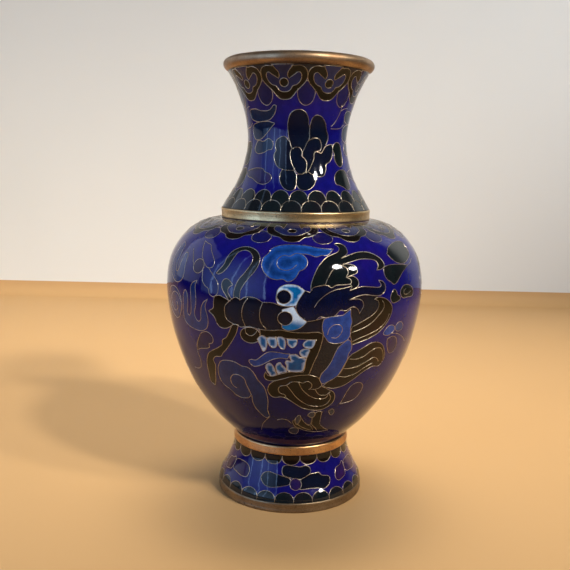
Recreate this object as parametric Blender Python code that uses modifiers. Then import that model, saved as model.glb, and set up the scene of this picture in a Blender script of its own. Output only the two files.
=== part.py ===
"""Cloisonne vase: a copper body of four spun shells, glass enamel outside and in, four brass rings and
brass cloison wires that draw the picture on the enamel.

The frame is in metres with +Z up. The origin is the centre of the foot's flat underside and the vase
turns about the Z axis. Azimuth 0 is the front, towards -Y, and grows towards +X. Lengths below are in
millimetres and azimuths in degrees; both are converted where a mesh or a curve is made.
"""

import math

import bpy

MM = 0.001
TURN_STEPS = 24

# Wall build-up, from the outside in
ENAMEL = 0.9
COPPER = 0.8
LINING = 0.4
GAP = 0.1
COPPER_OUT = ENAMEL + GAP
COPPER_IN = COPPER_OUT + COPPER
LINING_OUT = COPPER_IN + GAP
LINING_IN = LINING_OUT + LINING

# Outside of the glazed surface: (radius, height) down each part
NECK = [
    (24.0, 147.4),
    (22.0, 144.0),
    (19.9, 139.0),
    (17.85, 132.0),
    (16.95, 125.0),
    (18.1, 117.5),
    (20.2, 111.4),
    (22.8, 106.6),
    (25.65, 101.8),
]
SHOULDER = [(25.8, 98.3), (29.8, 97.6), (34.1, 96.0), (39.1, 92.0), (43.3, 85.0), (44.8, 75.5)]
BELLY = [(44.8, 75.5), (43.6, 64.0), (40.3, 52.0), (34.9, 40.0), (28.0, 30.0), (22.2, 24.0), (19.9, 21.6)]
BODY = SHOULDER + BELLY[1:]
FOOT = [(20.4, 18.2), (20.75, 16.0), (22.1, 12.0), (24.0, 8.0), (25.4, 5.6), (25.9, 3.7)]

# Lip ring: a rounded bead with a groove underneath that takes the neck shell's edge
LIP_TOP = 151.5
LIP_BOTTOM = 147.5
LIP_BORE = 20.95
LIP_FLAT = 22.6
LIP_BORE_CHAMFER = [(20.95, 150.0), (21.4, 151.0)]
LIP_GROOVE = (21.75, 22.95, 149.5)
LIP_BEAD = [(24.2, 151.5), (25.1, 150.9), (25.65, 149.8), (25.5, 148.8), (24.9, 148.0), (24.05, 147.5)]

# Neck collar: a band round the joint of neck and shoulder; the shoulder's spigot stands inside the neck
COLLAR_OUTSIDE = [(25.7, 101.7), (25.95, 101.4), (25.9, 100.2), (25.95, 99.0), (25.7, 98.4), (25.65, 97.6)]
COLLAR_BORE = 24.75
NECK_EDGE = 97.6
SPIGOT_RADIUS = 23.5
SPIGOT_TOP = 100.5

# Foot collar: a low band round the joint of belly and foot, where the belly's spigot goes in
WAIST_OUTSIDE = [(20.15, 21.5), (20.45, 21.2), (20.6, 19.9), (20.75, 18.7), (20.55, 18.3)]
WAIST_BORE = 19.5
WAIST_SPIGOT_RADIUS = 18.24
WAIST_SPIGOT_END = 18.7
FOOT_SHELL_TOP = 20.8

# Foot rim: an outer wall round the foot shell's edge and a flange under it that carries the base plate
RIM_OUTSIDE = [(25.75, 3.6), (26.1, 3.25), (26.1, 0.35), (25.75, 0.0)]
RIM_WALL_BORE = 25.0
RIM_FLANGE = 1.0
RIM_BORE = 21.6
BASE_PLATE_RADIUS = 23.9
BASE_ENAMEL_RADIUS = 21.4
BASE_ENAMEL = 0.6

# Cloison wires lie on the enamel: half a wire's thickness, and how far its middle is from the glass
WIRE_RADIUS = 0.2
WIRE_LIFT = 0.4

# Borders of scales: part, number round, azimuth of one tip, height of the roots, height of the tips
SCALE_ROWS = {
    "neck_scales_lower_wire": (NECK, 24, -3.4, 102.5, 104.8),
    "neck_scales_upper_wire": (NECK, 24, 2.2, 105.8, 108.2),
    "foot_scallops_upper_wire": (FOOT, 21, 1.0, 17.5, 15.4),
    "foot_scallops_lower_wire": (FOOT, 25, -3.7, 4.3, 6.7),
}
SCALE_POINTS = 4

# Borders of ruyi heads: part, number round, azimuth of one head, and half a head as (azimuth, height)
RUYI_ROWS = {
    "neck_ruyi_wire": (
        NECK,
        9,
        -12.5,
        [(0.0, 137.1), (5.0, 137.4), (10.6, 139.4), (15.4, 141.2), (16.8, 143.3), (20.0, 145.2)],
    ),
    "shoulder_ruyi_wire": (SHOULDER, 12, -1.5, [(0.0, 93.4), (5.5, 93.9), (9.5, 95.2), (15.0, 96.9)]),
}

# The picture: each wire is one closed outline of (azimuth, height) points. The dragon's head is seen from
# its left side, looking towards smaller azimuths; its body runs round the back of the vase.
BODY_WIRES = {
    "dragon_brow_wire": [
        (2.8, 75.3), (3.6, 77.0), (6.0, 78.9), (8.5, 80.0), (13.0, 80.4), (16.5, 80.3), (21.0, 80.8),
        (25.0, 79.6), (30.0, 80.0), (36.0, 79.6), (38.2, 80.0), (38.4, 78.8), (36.0, 78.1), (31.0, 78.3),
        (26.5, 77.4), (27.6, 76.0), (26.6, 74.9), (24.0, 75.4), (20.5, 74.2), (17.5, 74.2), (15.0, 72.9),
        (12.0, 72.4), (8.5, 71.8), (5.8, 71.5), (3.8, 72.7),
    ],
    "dragon_upper_eye_wire": [
        (-6.0, 77.0), (-5.6, 79.4), (-4.0, 80.6), (-1.5, 81.0), (1.2, 80.6), (2.9, 79.7), (2.2, 78.2),
        (0.9, 76.2), (-2.0, 75.8), (-4.8, 76.0),
    ],
    "dragon_lower_eye_wire": [
        (-3.8, 73.6), (-1.5, 74.3), (0.2, 74.4), (1.2, 73.0), (2.5, 71.6), (3.8, 70.4), (2.5, 69.3),
        (0.6, 68.5), (-1.4, 68.3), (-3.4, 68.7), (-4.0, 71.0),
    ],
    "dragon_snout_wire": [
        (-27.0, 70.4), (-27.2, 73.0), (-26.0, 74.8), (-23.2, 75.7), (-20.8, 75.3), (-18.0, 76.2),
        (-14.5, 76.3), (-11.5, 75.2), (-8.0, 75.0), (-5.7, 74.2), (-5.3, 71.5), (-5.6, 69.2), (-9.0, 68.2),
        (-13.5, 68.4), (-17.0, 68.7), (-21.0, 68.5), (-24.6, 69.1),
    ],
    "dragon_nose_wire": [
        (-32.8, 75.6), (-30.5, 76.2), (-28.7, 75.6), (-28.4, 72.5), (-28.3, 69.8), (-28.3, 67.8),
        (-30.3, 67.5), (-31.8, 68.6), (-33.0, 70.4), (-34.8, 71.5), (-33.4, 73.0),
    ],
    "dragon_nostril_wire": [
        (-13.4, 65.2), (-14.4, 66.6), (-17.0, 67.1), (-19.8, 66.6), (-20.8, 65.2), (-19.8, 63.8),
        (-17.0, 63.1), (-14.4, 63.8),
    ],
    "dragon_jaw_wire": [
        (-11.8, 66.8), (-6.0, 66.8), (0.0, 66.5), (6.0, 66.4), (11.0, 66.2), (10.9, 63.0), (9.6, 60.0),
        (8.2, 57.0), (6.9, 53.4), (3.0, 52.8), (-1.0, 52.2), (-5.0, 51.2), (-9.0, 50.7), (-11.4, 51.1),
        (-11.6, 52.4), (-9.0, 52.2), (-6.0, 52.7), (-2.0, 53.7), (2.0, 54.1), (5.0, 54.6), (5.8, 58.0),
        (7.0, 61.5), (8.4, 64.0), (5.0, 64.7), (0.0, 64.9), (-5.0, 65.2), (-11.6, 65.2),
    ],
    "dragon_cheek_wire": [
        (12.6, 68.8), (13.0, 70.5), (14.5, 71.3), (17.0, 71.7), (19.5, 72.2), (21.8, 72.8), (22.4, 70.8),
        (22.9, 69.0), (22.6, 67.0), (22.4, 65.6), (21.0, 64.6), (19.0, 64.1), (16.5, 64.1), (14.2, 64.8),
        (12.9, 66.2),
    ],
    "dragon_frill_wire": [
        (22.5, 63.4), (24.0, 62.2), (24.2, 60.5), (23.2, 58.3), (22.2, 56.0), (20.8, 54.0), (18.6, 52.2),
        (16.5, 51.1), (14.3, 50.4), (13.3, 51.4), (13.8, 53.0), (15.8, 55.2), (17.2, 57.2), (18.4, 59.8),
        (19.6, 61.6), (21.0, 62.9),
    ],
    "dragon_beard_wire": [
        (-7.6, 49.4), (-9.6, 48.4), (-10.3, 46.8), (-9.4, 45.3), (-6.0, 45.1), (-2.0, 44.7), (2.0, 42.7),
        (6.0, 41.0), (10.0, 40.2), (15.0, 40.0), (18.7, 41.0), (20.6, 42.6), (20.8, 44.2), (19.5, 45.4),
        (16.0, 46.3), (13.2, 47.6), (12.0, 49.4), (10.4, 51.0), (8.2, 51.7), (3.5, 51.6), (-1.0, 51.0),
        (-4.6, 50.2),
    ],
    "dragon_upper_mane_wire": [
        (34.4, 76.8), (35.8, 75.6), (36.3, 74.2), (35.3, 72.5), (32.8, 71.0), (29.0, 69.5), (25.2, 68.2),
        (24.6, 66.2), (25.2, 64.4), (26.8, 63.4), (30.0, 63.9), (34.0, 64.8), (38.0, 66.2), (41.0, 68.4),
        (43.0, 71.0), (43.0, 73.2), (41.5, 74.8), (39.0, 76.1), (36.4, 77.1),
    ],
    "dragon_lower_mane_wire": [
        (26.0, 59.0), (29.0, 60.0), (33.0, 61.4), (37.0, 61.9), (40.5, 60.9), (43.0, 58.8), (44.2, 56.6),
        (43.2, 54.6), (39.0, 54.4), (35.0, 53.2), (31.0, 51.4), (27.0, 49.6), (23.0, 48.4), (18.8, 48.1),
        (17.2, 49.3), (19.4, 50.8), (21.9, 52.6), (23.6, 54.8), (24.6, 57.2),
    ],
    "dragon_horn_wire": [
        (7.6, 81.9), (9.0, 84.8), (11.2, 87.2), (14.5, 88.8), (18.5, 90.0), (20.3, 91.0), (20.5, 92.3),
        (22.4, 92.2), (23.0, 91.1), (22.6, 90.1), (26.0, 90.3), (31.0, 90.3), (36.0, 89.4), (39.4, 87.9),
        (39.8, 86.3), (38.2, 86.0), (36.6, 87.6), (33.0, 88.6), (28.0, 88.7), (25.0, 88.2), (26.6, 86.8),
        (26.6, 85.2), (25.4, 84.1), (26.4, 82.8), (25.4, 81.5), (22.6, 81.9), (17.0, 81.7), (12.0, 81.8),
    ],
    "dragon_long_whisker_wire": [
        (-32.0, 83.6), (-30.4, 85.4), (-29.0, 88.0), (-27.0, 90.2), (-24.0, 91.3), (-20.0, 91.4),
        (-16.5, 90.4), (-15.0, 88.8), (-15.1, 86.8), (-16.5, 84.6), (-18.6, 82.4), (-20.6, 80.2),
        (-21.6, 78.2), (-21.8, 77.0), (-23.4, 76.9), (-23.2, 79.2), (-21.8, 82.0), (-19.3, 84.8),
        (-17.4, 87.2), (-17.3, 88.8), (-19.4, 90.0), (-22.0, 90.4), (-24.7, 89.6), (-26.2, 87.8),
        (-27.6, 85.4), (-29.6, 83.4), (-31.2, 82.6),
    ],
    "dragon_chin_whisker_wire": [
        (-24.9, 67.6), (-26.6, 65.2), (-28.6, 63.2), (-31.0, 61.0), (-34.0, 59.4), (-38.0, 57.8),
        (-41.0, 55.4), (-42.4, 52.6), (-43.0, 49.8), (-43.4, 47.2), (-42.6, 45.9), (-41.2, 46.1),
        (-39.8, 48.2), (-38.2, 51.0), (-37.4, 53.0), (-37.6, 55.2), (-35.0, 56.6), (-31.6, 58.0),
        (-28.8, 60.0), (-26.0, 62.6), (-24.0, 65.0), (-22.9, 67.3),
    ],
    "cloud_top_wire": [
        (-12.8, 86.5), (-12.3, 88.8), (-10.4, 90.6), (-7.0, 91.7), (-2.0, 92.1), (4.0, 92.0), (9.0, 91.7),
        (13.4, 91.3), (13.2, 90.3), (9.0, 90.1), (5.8, 89.8), (5.6, 88.0), (4.2, 86.4), (2.0, 85.2),
        (0.6, 83.8), (-2.0, 82.9), (-4.3, 83.4), (-7.0, 83.3), (-10.0, 84.2), (-12.0, 85.3),
    ],
    "cloud_low_wire": [
        (-35.4, 50.5), (-34.4, 52.8), (-32.0, 54.6), (-28.5, 55.3), (-24.0, 55.0), (-19.8, 53.8),
        (-17.0, 52.2), (-15.4, 49.8), (-13.2, 47.6), (-12.4, 44.5), (-12.4, 41.5), (-13.1, 39.0),
        (-12.8, 36.8), (-15.0, 36.3), (-17.6, 37.8), (-19.6, 39.8), (-20.6, 42.4), (-22.4, 43.1),
        (-25.0, 42.9), (-28.5, 43.6), (-31.5, 45.3), (-34.6, 47.2), (-35.4, 48.7),
    ],
    "cloud_comb_wire": [
        (-37.3, 66.0), (-37.3, 69.5), (-38.0, 72.3), (-37.4, 74.2), (-38.9, 74.0), (-40.2, 72.2),
        (-40.8, 69.5), (-42.4, 67.9), (-43.9, 68.6), (-44.0, 70.2), (-43.3, 72.5), (-43.3, 76.0),
        (-43.5, 78.8), (-45.0, 79.2), (-46.3, 77.8), (-46.0, 74.5), (-46.2, 71.2), (-47.2, 69.3),
        (-48.6, 69.0), (-49.0, 70.4), (-48.6, 72.2), (-48.5, 74.4), (-49.6, 75.8), (-51.0, 75.7),
        (-51.8, 74.0), (-52.4, 71.0), (-52.4, 68.0), (-51.0, 66.0), (-48.0, 65.0), (-44.0, 64.7),
        (-40.0, 64.9),
    ],
}

# The dragon's body: middle line from behind the mane round the back, and half its width at even steps
COIL = [
    (76, 80), (88, 82), (100, 75), (109, 61), (124, 49), (143, 50), (155, 64), (168, 78), (188, 83),
    (206, 76), (215, 62), (226, 49), (243, 44), (258, 50),
]
COIL_WIDTHS = [5.5, 5.5, 5.5, 5.2, 5.0, 4.8, 4.4, 4.0, 3.4, 2.6, 1.4]
COIL_STEPS = 4
BODY_DEGREE = 0.75

# One third of the neck and of the foot; each repeats three times round
THIRDS = (0, 120, 240)
NECK_WIRES = {
    "neck_lotus_heart": [
        (-6.0, 120.4), (-6.2, 118.8), (-4.6, 117.0), (-2.0, 115.5), (1.0, 114.7), (5.0, 114.5), (8.0, 115.1),
        (9.0, 116.3), (8.6, 117.6), (6.0, 118.5), (4.2, 119.4), (4.2, 120.7), (2.4, 121.5), (-1.5, 121.7),
        (-4.6, 121.3),
    ],
    "neck_lotus_top": [
        (-6.0, 123.6), (-8.6, 125.4), (-9.3, 127.8), (-9.0, 130.2), (-6.5, 132.2), (-2.5, 133.2), (3.0, 133.3),
        (7.5, 132.5), (10.0, 131.0), (10.8, 129.0), (12.0, 127.2), (11.0, 125.4), (6.5, 123.8), (0.0, 122.9),
    ],
    "neck_lotus_left": [
        (-11.0, 123.8), (-15.0, 124.7), (-19.5, 124.5), (-22.8, 123.4), (-22.8, 122.0), (-22.4, 120.6),
        (-23.4, 119.4), (-22.0, 118.1), (-18.5, 116.8), (-14.0, 115.9), (-9.6, 115.8), (-7.8, 116.8),
        (-8.8, 118.4), (-8.8, 120.6), (-8.8, 122.4),
    ],
    "neck_lotus_right": [
        (13.5, 114.5), (18.0, 113.7), (23.0, 113.5), (27.0, 114.1), (30.0, 115.7), (32.5, 117.6), (37.0, 118.7),
        (40.5, 120.2), (41.2, 121.9), (38.0, 122.5), (33.0, 121.7), (28.0, 120.2), (22.5, 119.8), (18.8, 118.0),
        (15.6, 116.2),
    ],
}
FOOT_WIRES = {
    "foot_flower": [
        (-6.0, 13.1), (-4.6, 14.2), (0.0, 14.6), (6.0, 14.4), (11.0, 14.2), (15.0, 14.3), (17.6, 13.3),
        (15.0, 12.3), (10.0, 11.7), (4.0, 11.8), (-1.0, 12.0), (-4.6, 12.3),
    ],
}

COPPER_LOOK = ((0.46, 0.20, 0.11), 0.42, 1.0)
BRASS_LOOK = ((0.47, 0.33, 0.17), 0.38, 1.0)
WIRE_LOOK = ((0.72, 0.52, 0.24), 0.3, 1.0)
COBALT_LOOK = ((0.02, 0.025, 0.22), 0.12, 0.0)
COUNTER_ENAMEL_LOOK = ((0.03, 0.12, 0.30), 0.3, 0.0)


# ---------------------------------------------------------------- tools

def material(name, look):
    colour, roughness, metallic = look
    made = bpy.data.materials.new(name)
    made.use_nodes = True
    shader = made.node_tree.nodes["Principled BSDF"]
    shader.inputs["Base Color"].default_value = (*colour, 1.0)
    shader.inputs["Roughness"].default_value = roughness
    shader.inputs["Metallic"].default_value = metallic
    return made


def add_object(name, data, look):
    data.materials.append(material(name, look))
    made = bpy.data.objects.new(name, data)
    vase.objects.link(made)
    made.parent = base_empty
    return made


def turned(name, profile, look):
    """Turns a closed (radius, height) profile, given down its outer side first, about the Z axis.

    A profile whose first and last points are on the axis is left open there and makes a disc.
    """
    on_axis = profile[0][0] == 0.0
    edges = [(i, i + 1) for i in range(len(profile) - 1)]
    if not on_axis:
        edges.append((len(profile) - 1, 0))
    mesh = bpy.data.meshes.new(name)
    mesh.from_pydata([(r * MM, 0.0, z * MM) for r, z in profile], edges, [])
    made = add_object(name, mesh, look)
    screw = made.modifiers.new("Turn", "SCREW")
    screw.steps = TURN_STEPS
    screw.render_steps = TURN_STEPS
    screw.use_merge_vertices = True
    screw.merge_threshold = 0.00001
    screw.use_smooth_shade = True
    return made


def inset(outside, depth, upright_top=False):
    """The (radius, height) line this far inside another, cut level at its ends or upright at its top."""
    inside = []
    for i, (r, z) in enumerate(outside):
        above = outside[max(i - 1, 0)]
        below = outside[min(i + 1, len(outside) - 1)]
        dr = below[0] - above[0]
        dz = below[1] - above[1]
        run = math.hypot(dr, dz)
        if i == 0 and upright_top:
            inside.append((r, z - depth * run / abs(dr)))
        elif i in (0, len(outside) - 1):
            inside.append((r - depth * run / abs(dz), z))
        else:
            inside.append((r + depth * dz / run, z - depth * dr / run))
    return inside


def layer(outside, near, far, upright_top=False):
    """A closed profile between two depths under the same surface."""
    return inset(outside, near, upright_top) + inset(outside, far, upright_top)[::-1]


def on_surface(line, azimuth, height, lift):
    """The point, in metres, this far outside a part's glazed surface at an azimuth and a height."""
    for (r1, z1), (r2, z2) in zip(line, line[1:]):
        if z2 <= height <= z1:
            break
    else:
        raise ValueError(f"height {height} is off the part")
    share = (z1 - height) / (z1 - z2)
    run = math.hypot(r2 - r1, z2 - z1)
    radius = r1 + share * (r2 - r1) + lift * (z1 - z2) / run
    raised = height + lift * (r2 - r1) / run
    turn = math.radians(azimuth)
    return (radius * math.sin(turn) * MM, -radius * math.cos(turn) * MM, raised * MM)


def wire(name, line, outline):
    """A closed cloison wire through (azimuth, height) points on a part's surface."""
    curve = bpy.data.curves.new(name, "CURVE")
    curve.dimensions = "3D"
    curve.bevel_depth = WIRE_RADIUS * MM
    curve.bevel_resolution = 0
    curve.use_fill_caps = True
    spline = curve.splines.new("POLY")
    spline.points.add(len(outline) - 1)
    for point, (azimuth, height) in zip(spline.points, outline):
        point.co = (*on_surface(line, azimuth, height, WIRE_LIFT), 1.0)
    spline.use_cyclic_u = True
    return add_object(name, curve, WIRE_LOOK)


def scale_row(count, tip_azimuth, roots, tips):
    """A row of round scales all the way round: half an ellipse for each, root to tip to root."""
    pitch = 360.0 / count
    outline = []
    for scale in range(count):
        middle = tip_azimuth + scale * pitch
        for step in range(SCALE_POINTS):
            turn = math.pi * step / SCALE_POINTS
            azimuth = middle - 0.5 * pitch * math.cos(turn)
            outline.append((azimuth, roots + (tips - roots) * math.sin(turn)))
    return outline


def ruyi_row(count, first_azimuth, half_head):
    """A row of cloud-collar heads all the way round; neighbours share the point between them."""
    pitch = 360.0 / count
    outline = []
    for head in range(count):
        middle = first_azimuth + head * pitch
        outline += [(middle - azimuth, height) for azimuth, height in reversed(half_head[:-1])]
        outline += [(middle + azimuth, height) for azimuth, height in half_head[1:]]
    return outline


def band(route, widths):
    """A closed outline down one side of a smooth band on the body and back up the other."""
    points = [(azimuth * BODY_DEGREE, height) for azimuth, height in route]
    points = [points[0], *points, points[-1]]
    middle = []
    for p0, p1, p2, p3 in zip(points, points[1:], points[2:], points[3:]):
        for step in range(COIL_STEPS):
            t = step / COIL_STEPS
            middle.append(tuple(
                b + 0.5 * t * (c - a + t * (2 * a - 5 * b + 4 * c - d + t * (3 * b - a - 3 * c + d)))
                for a, b, c, d in zip(p0, p1, p2, p3)
            ))
    middle.append(points[-1])
    left, right = [], []
    for i, (x, y) in enumerate(middle):
        ahead = middle[min(i + 1, len(middle) - 1)]
        behind = middle[max(i - 1, 0)]
        run = math.hypot(ahead[0] - behind[0], ahead[1] - behind[1])
        at = i / (len(middle) - 1) * (len(widths) - 1)
        low = min(int(at), len(widths) - 2)
        width = widths[low] + (at - low) * (widths[low + 1] - widths[low])
        across = -(ahead[1] - behind[1]) / run * width
        up = (ahead[0] - behind[0]) / run * width
        left.append(((x + across) / BODY_DEGREE, y + up))
        right.append(((x - across) / BODY_DEGREE, y - up))
    return left + right[::-1]


# ---------------------------------------------------------------- rings

def lip_ring():
    groove_in, groove_out, groove_top = LIP_GROOVE
    return [
        (LIP_FLAT, LIP_TOP),
        *LIP_BEAD,
        (groove_out, LIP_BOTTOM),
        (groove_out, groove_top),
        (groove_in, groove_top),
        (groove_in, LIP_BOTTOM),
        (LIP_BORE, LIP_BOTTOM),
        *LIP_BORE_CHAMFER,
    ]


def neck_collar():
    return [*COLLAR_OUTSIDE, (COLLAR_BORE, COLLAR_OUTSIDE[-1][1]), (COLLAR_BORE, COLLAR_OUTSIDE[0][1])]


def foot_collar():
    return [*WAIST_OUTSIDE, (WAIST_BORE, WAIST_OUTSIDE[-1][1]), (WAIST_BORE, WAIST_OUTSIDE[0][1])]


def foot_rim():
    return [
        *RIM_OUTSIDE,
        (RIM_BORE, 0.0),
        (RIM_BORE, RIM_FLANGE),
        (RIM_WALL_BORE, RIM_FLANGE),
        (RIM_WALL_BORE, RIM_OUTSIDE[0][1]),
    ]


# ---------------------------------------------------------------- copper

def neck_shell():
    """The flared neck: its top edge stands in the lip ring's groove, its foot goes down in the collar."""
    outer = inset(NECK, COPPER_OUT)
    inner = inset(NECK, COPPER_IN)
    edge = LIP_GROOVE[2] - GAP
    flange = LIP_GROOVE[1] - GAP
    foot = outer[-1][0]
    return [
        (flange, edge),
        *outer,
        (foot, NECK_EDGE),
        (foot - COPPER, NECK_EDGE),
        *reversed(inner),
        (flange - COPPER, edge),
    ]


def shoulder_shell():
    """The body's upper half, drawn up round its mouth into a spigot that centres the neck."""
    outer = inset(SHOULDER, COPPER_OUT, upright_top=True)
    inner = inset(SHOULDER, COPPER_IN, upright_top=True)
    seam = SHOULDER[-1][1] + 0.5 * GAP
    outer[-1] = (outer[-1][0], seam)
    inner[-1] = (inner[-1][0], seam)
    return [
        (SPIGOT_RADIUS, SPIGOT_TOP),
        (SPIGOT_RADIUS, outer[0][1]),
        *outer,
        *reversed(inner),
        (SPIGOT_RADIUS - COPPER, inner[0][1]),
        (SPIGOT_RADIUS - COPPER, SPIGOT_TOP),
    ]


def belly_shell():
    """The body's lower half, ending in a spigot that goes down into the foot."""
    outer = inset(BELLY, COPPER_OUT)
    inner = inset(BELLY, COPPER_IN)
    seam = BELLY[0][1] - 0.5 * GAP
    outer[0] = (outer[0][0], seam)
    inner[0] = (inner[0][0], seam)
    bore = WAIST_SPIGOT_RADIUS - COPPER
    return [
        *outer[:-1],
        (WAIST_SPIGOT_RADIUS, outer[-1][1]),
        (WAIST_SPIGOT_RADIUS, WAIST_SPIGOT_END),
        (bore, WAIST_SPIGOT_END),
        (bore, inner[-1][1]),
        *reversed(inner[:-1]),
    ]


def foot_shell():
    """The flared foot, from inside the foot collar down to the rim's flange."""
    outer = inset(FOOT, COPPER_OUT)
    inner = inset(FOOT, COPPER_IN)
    bottom = RIM_FLANGE + GAP
    return [
        (outer[0][0], FOOT_SHELL_TOP),
        *outer,
        (outer[-1][0], bottom),
        (outer[-1][0] - COPPER, bottom),
        *reversed(inner),
        (outer[0][0] - COPPER, FOOT_SHELL_TOP),
    ]


def disc(radius, top, thickness):
    return [(0.0, top), (radius, top), (radius, top - thickness), (0.0, top - thickness)]


# ---------------------------------------------------------------- the vase

for old in list(bpy.data.objects):
    bpy.data.objects.remove(old)

vase = bpy.data.collections.new("cloisonne_vase")
bpy.context.scene.collection.children.link(vase)
base_empty = bpy.data.objects.new("vase_origin", None)
vase.objects.link(base_empty)

turned("lip_ring", lip_ring(), BRASS_LOOK)
turned("neck_collar", neck_collar(), BRASS_LOOK)
turned("foot_collar", foot_collar(), BRASS_LOOK)
turned("foot_rim", foot_rim(), BRASS_LOOK)

turned("neck_shell", neck_shell(), COPPER_LOOK)
turned("shoulder_shell", shoulder_shell(), COPPER_LOOK)
turned("belly_shell", belly_shell(), COPPER_LOOK)
turned("foot_shell", foot_shell(), COPPER_LOOK)

turned("neck_enamel", layer(NECK, 0.0, ENAMEL), COBALT_LOOK)
turned("body_enamel", layer(BODY, 0.0, ENAMEL, upright_top=True), COBALT_LOOK)
turned("foot_enamel", layer(FOOT, 0.0, ENAMEL), COBALT_LOOK)

turned("neck_lining", layer(NECK, LINING_OUT, LINING_IN), COUNTER_ENAMEL_LOOK)
turned("body_lining", layer(BODY, LINING_OUT, LINING_IN, upright_top=True), COUNTER_ENAMEL_LOOK)
turned("foot_lining", layer(FOOT, LINING_OUT, LINING_IN), COUNTER_ENAMEL_LOOK)

plate_bottom = RIM_FLANGE + GAP
plate_top = plate_bottom + COPPER
turned("base_plate", disc(BASE_PLATE_RADIUS, plate_top, COPPER), COPPER_LOOK)
turned("base_enamel", disc(BASE_ENAMEL_RADIUS, plate_bottom - GAP, BASE_ENAMEL), COUNTER_ENAMEL_LOOK)
turned("base_lining", disc(BASE_PLATE_RADIUS, plate_top + GAP + LINING, LINING), COUNTER_ENAMEL_LOOK)

for row_name, (part, around, tip, root_height, tip_height) in SCALE_ROWS.items():
    wire(row_name, part, scale_row(around, tip, root_height, tip_height))

for row_name, (part, around, first_head, half) in RUYI_ROWS.items():
    wire(row_name, part, ruyi_row(around, first_head, half))

for wire_name, points in BODY_WIRES.items():
    wire(wire_name, BODY, points)
wire("dragon_body_wire", BODY, band(COIL, COIL_WIDTHS))

for part, pieces in ((NECK, NECK_WIRES), (FOOT, FOOT_WIRES)):
    for piece, points in pieces.items():
        for number, turn in enumerate(THIRDS, 1):
            wire(f"{piece}_{number}_wire", part, [(azimuth + turn, height) for azimuth, height in points])
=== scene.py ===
"""Looks for the cloisonne vase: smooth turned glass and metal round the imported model, with the picture
laid out in wire cells on the neck, the body and the foot.

Lengths are in millimetres and azimuths in degrees until a mesh is made; azimuth 0 is the front, -Y.
"""

import math

import bpy
import numpy as np
from mathutils import Matrix, Vector, kdtree
from mathutils.geometry import delaunay_2d_cdt


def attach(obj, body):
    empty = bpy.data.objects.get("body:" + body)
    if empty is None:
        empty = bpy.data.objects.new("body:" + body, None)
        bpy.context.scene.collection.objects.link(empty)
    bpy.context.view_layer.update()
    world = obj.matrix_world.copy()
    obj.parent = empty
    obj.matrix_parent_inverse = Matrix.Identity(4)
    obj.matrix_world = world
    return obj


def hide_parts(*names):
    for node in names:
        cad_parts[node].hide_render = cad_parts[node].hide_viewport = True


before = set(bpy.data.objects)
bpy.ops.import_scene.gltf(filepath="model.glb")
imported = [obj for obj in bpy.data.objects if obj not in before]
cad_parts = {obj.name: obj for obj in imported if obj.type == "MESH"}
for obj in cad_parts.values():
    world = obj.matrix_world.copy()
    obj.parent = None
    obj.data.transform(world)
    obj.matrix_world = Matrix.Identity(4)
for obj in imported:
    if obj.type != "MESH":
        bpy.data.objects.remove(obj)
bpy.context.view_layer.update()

MM = 0.001              # a millimetre in metres
DEGREE = 0.75           # about the width of a degree round the body
S = 1                   # third value of an outline point that is a sharp corner
NEAR = 1e-3             # points closer than this are taken as one

# Outside of the glass: (radius, height) knots down each part, the same as the CAD model's
NECK_KNOTS = [
    (24.0, 147.4), (22.0, 144.0), (19.9, 139.0), (17.85, 132.0), (16.95, 125.0),
    (18.1, 117.5), (20.2, 111.4), (22.8, 106.6), (25.65, 101.8),
]
BODY_KNOTS = [
    (25.8, 98.3), (29.8, 97.6), (34.1, 96.0), (39.1, 92.0), (43.3, 85.0), (44.8, 75.5),
    (43.6, 64.0), (40.3, 52.0), (34.9, 40.0), (28.0, 30.0), (22.2, 24.0), (19.9, 21.6),
]
FOOT_KNOTS = [(20.4, 18.2), (20.75, 16.0), (22.1, 12.0), (24.0, 8.0), (25.4, 5.6), (25.9, 3.7)]
KNOT_STEPS = 24         # curve steps from one knot to the next

ENAMEL = 0.9            # thickness of the outer glass
LINING_OUT = 1.9        # depth of the counter-enamel's outer side, from the outside of the glass
LINING_IN = 2.3         # depth of its inner side
LINING_SHORT = 0.05     # how far it stops under the top of the glass
GRID = 0.75             # spacing of the glass's mesh away from the wires
INNER_ROWS = 14         # rows of points down the inner side of the glass
INNER_COLOUR = (0.02, 0.06, 0.2, 1.0)
UNDERSIDE_SHADE_TINT = (0.72, 0.52, 0.46)   # painted shade: what multiplies the glass's colours low on the body, darkening its underside
UNDERSIDE_SHADE_FROM = 78.0        # height at which that painted shade starts
UNDERSIDE_SHADE_OVER = 42.0        # height over which it grows to its full strength

WIRE_WIDTH = 0.25
WIRE_CROWN = 0.62       # width of a wire's top as a share of its foot's
WIRE_PROUD = 0.05       # height of its top over the glass
WIRE_ROOT = 0.08        # depth of its foot under the glass
WIRE_FREE_EDGE = 0.03   # gap left between the wires and the glass's two ends
WIRE_STEP = 0.45        # spacing of the points along a wire
CURVE_STEPS = 10        # curve steps from one outline point to the next, before that spacing

TURN_STEPS = 192        # sides of a turned piece
SHARP_EDGE = 42         # angle from which an edge of a turned piece is shaded as sharp


# ---------------------------------------------------------------- curves and surfaces

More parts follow.
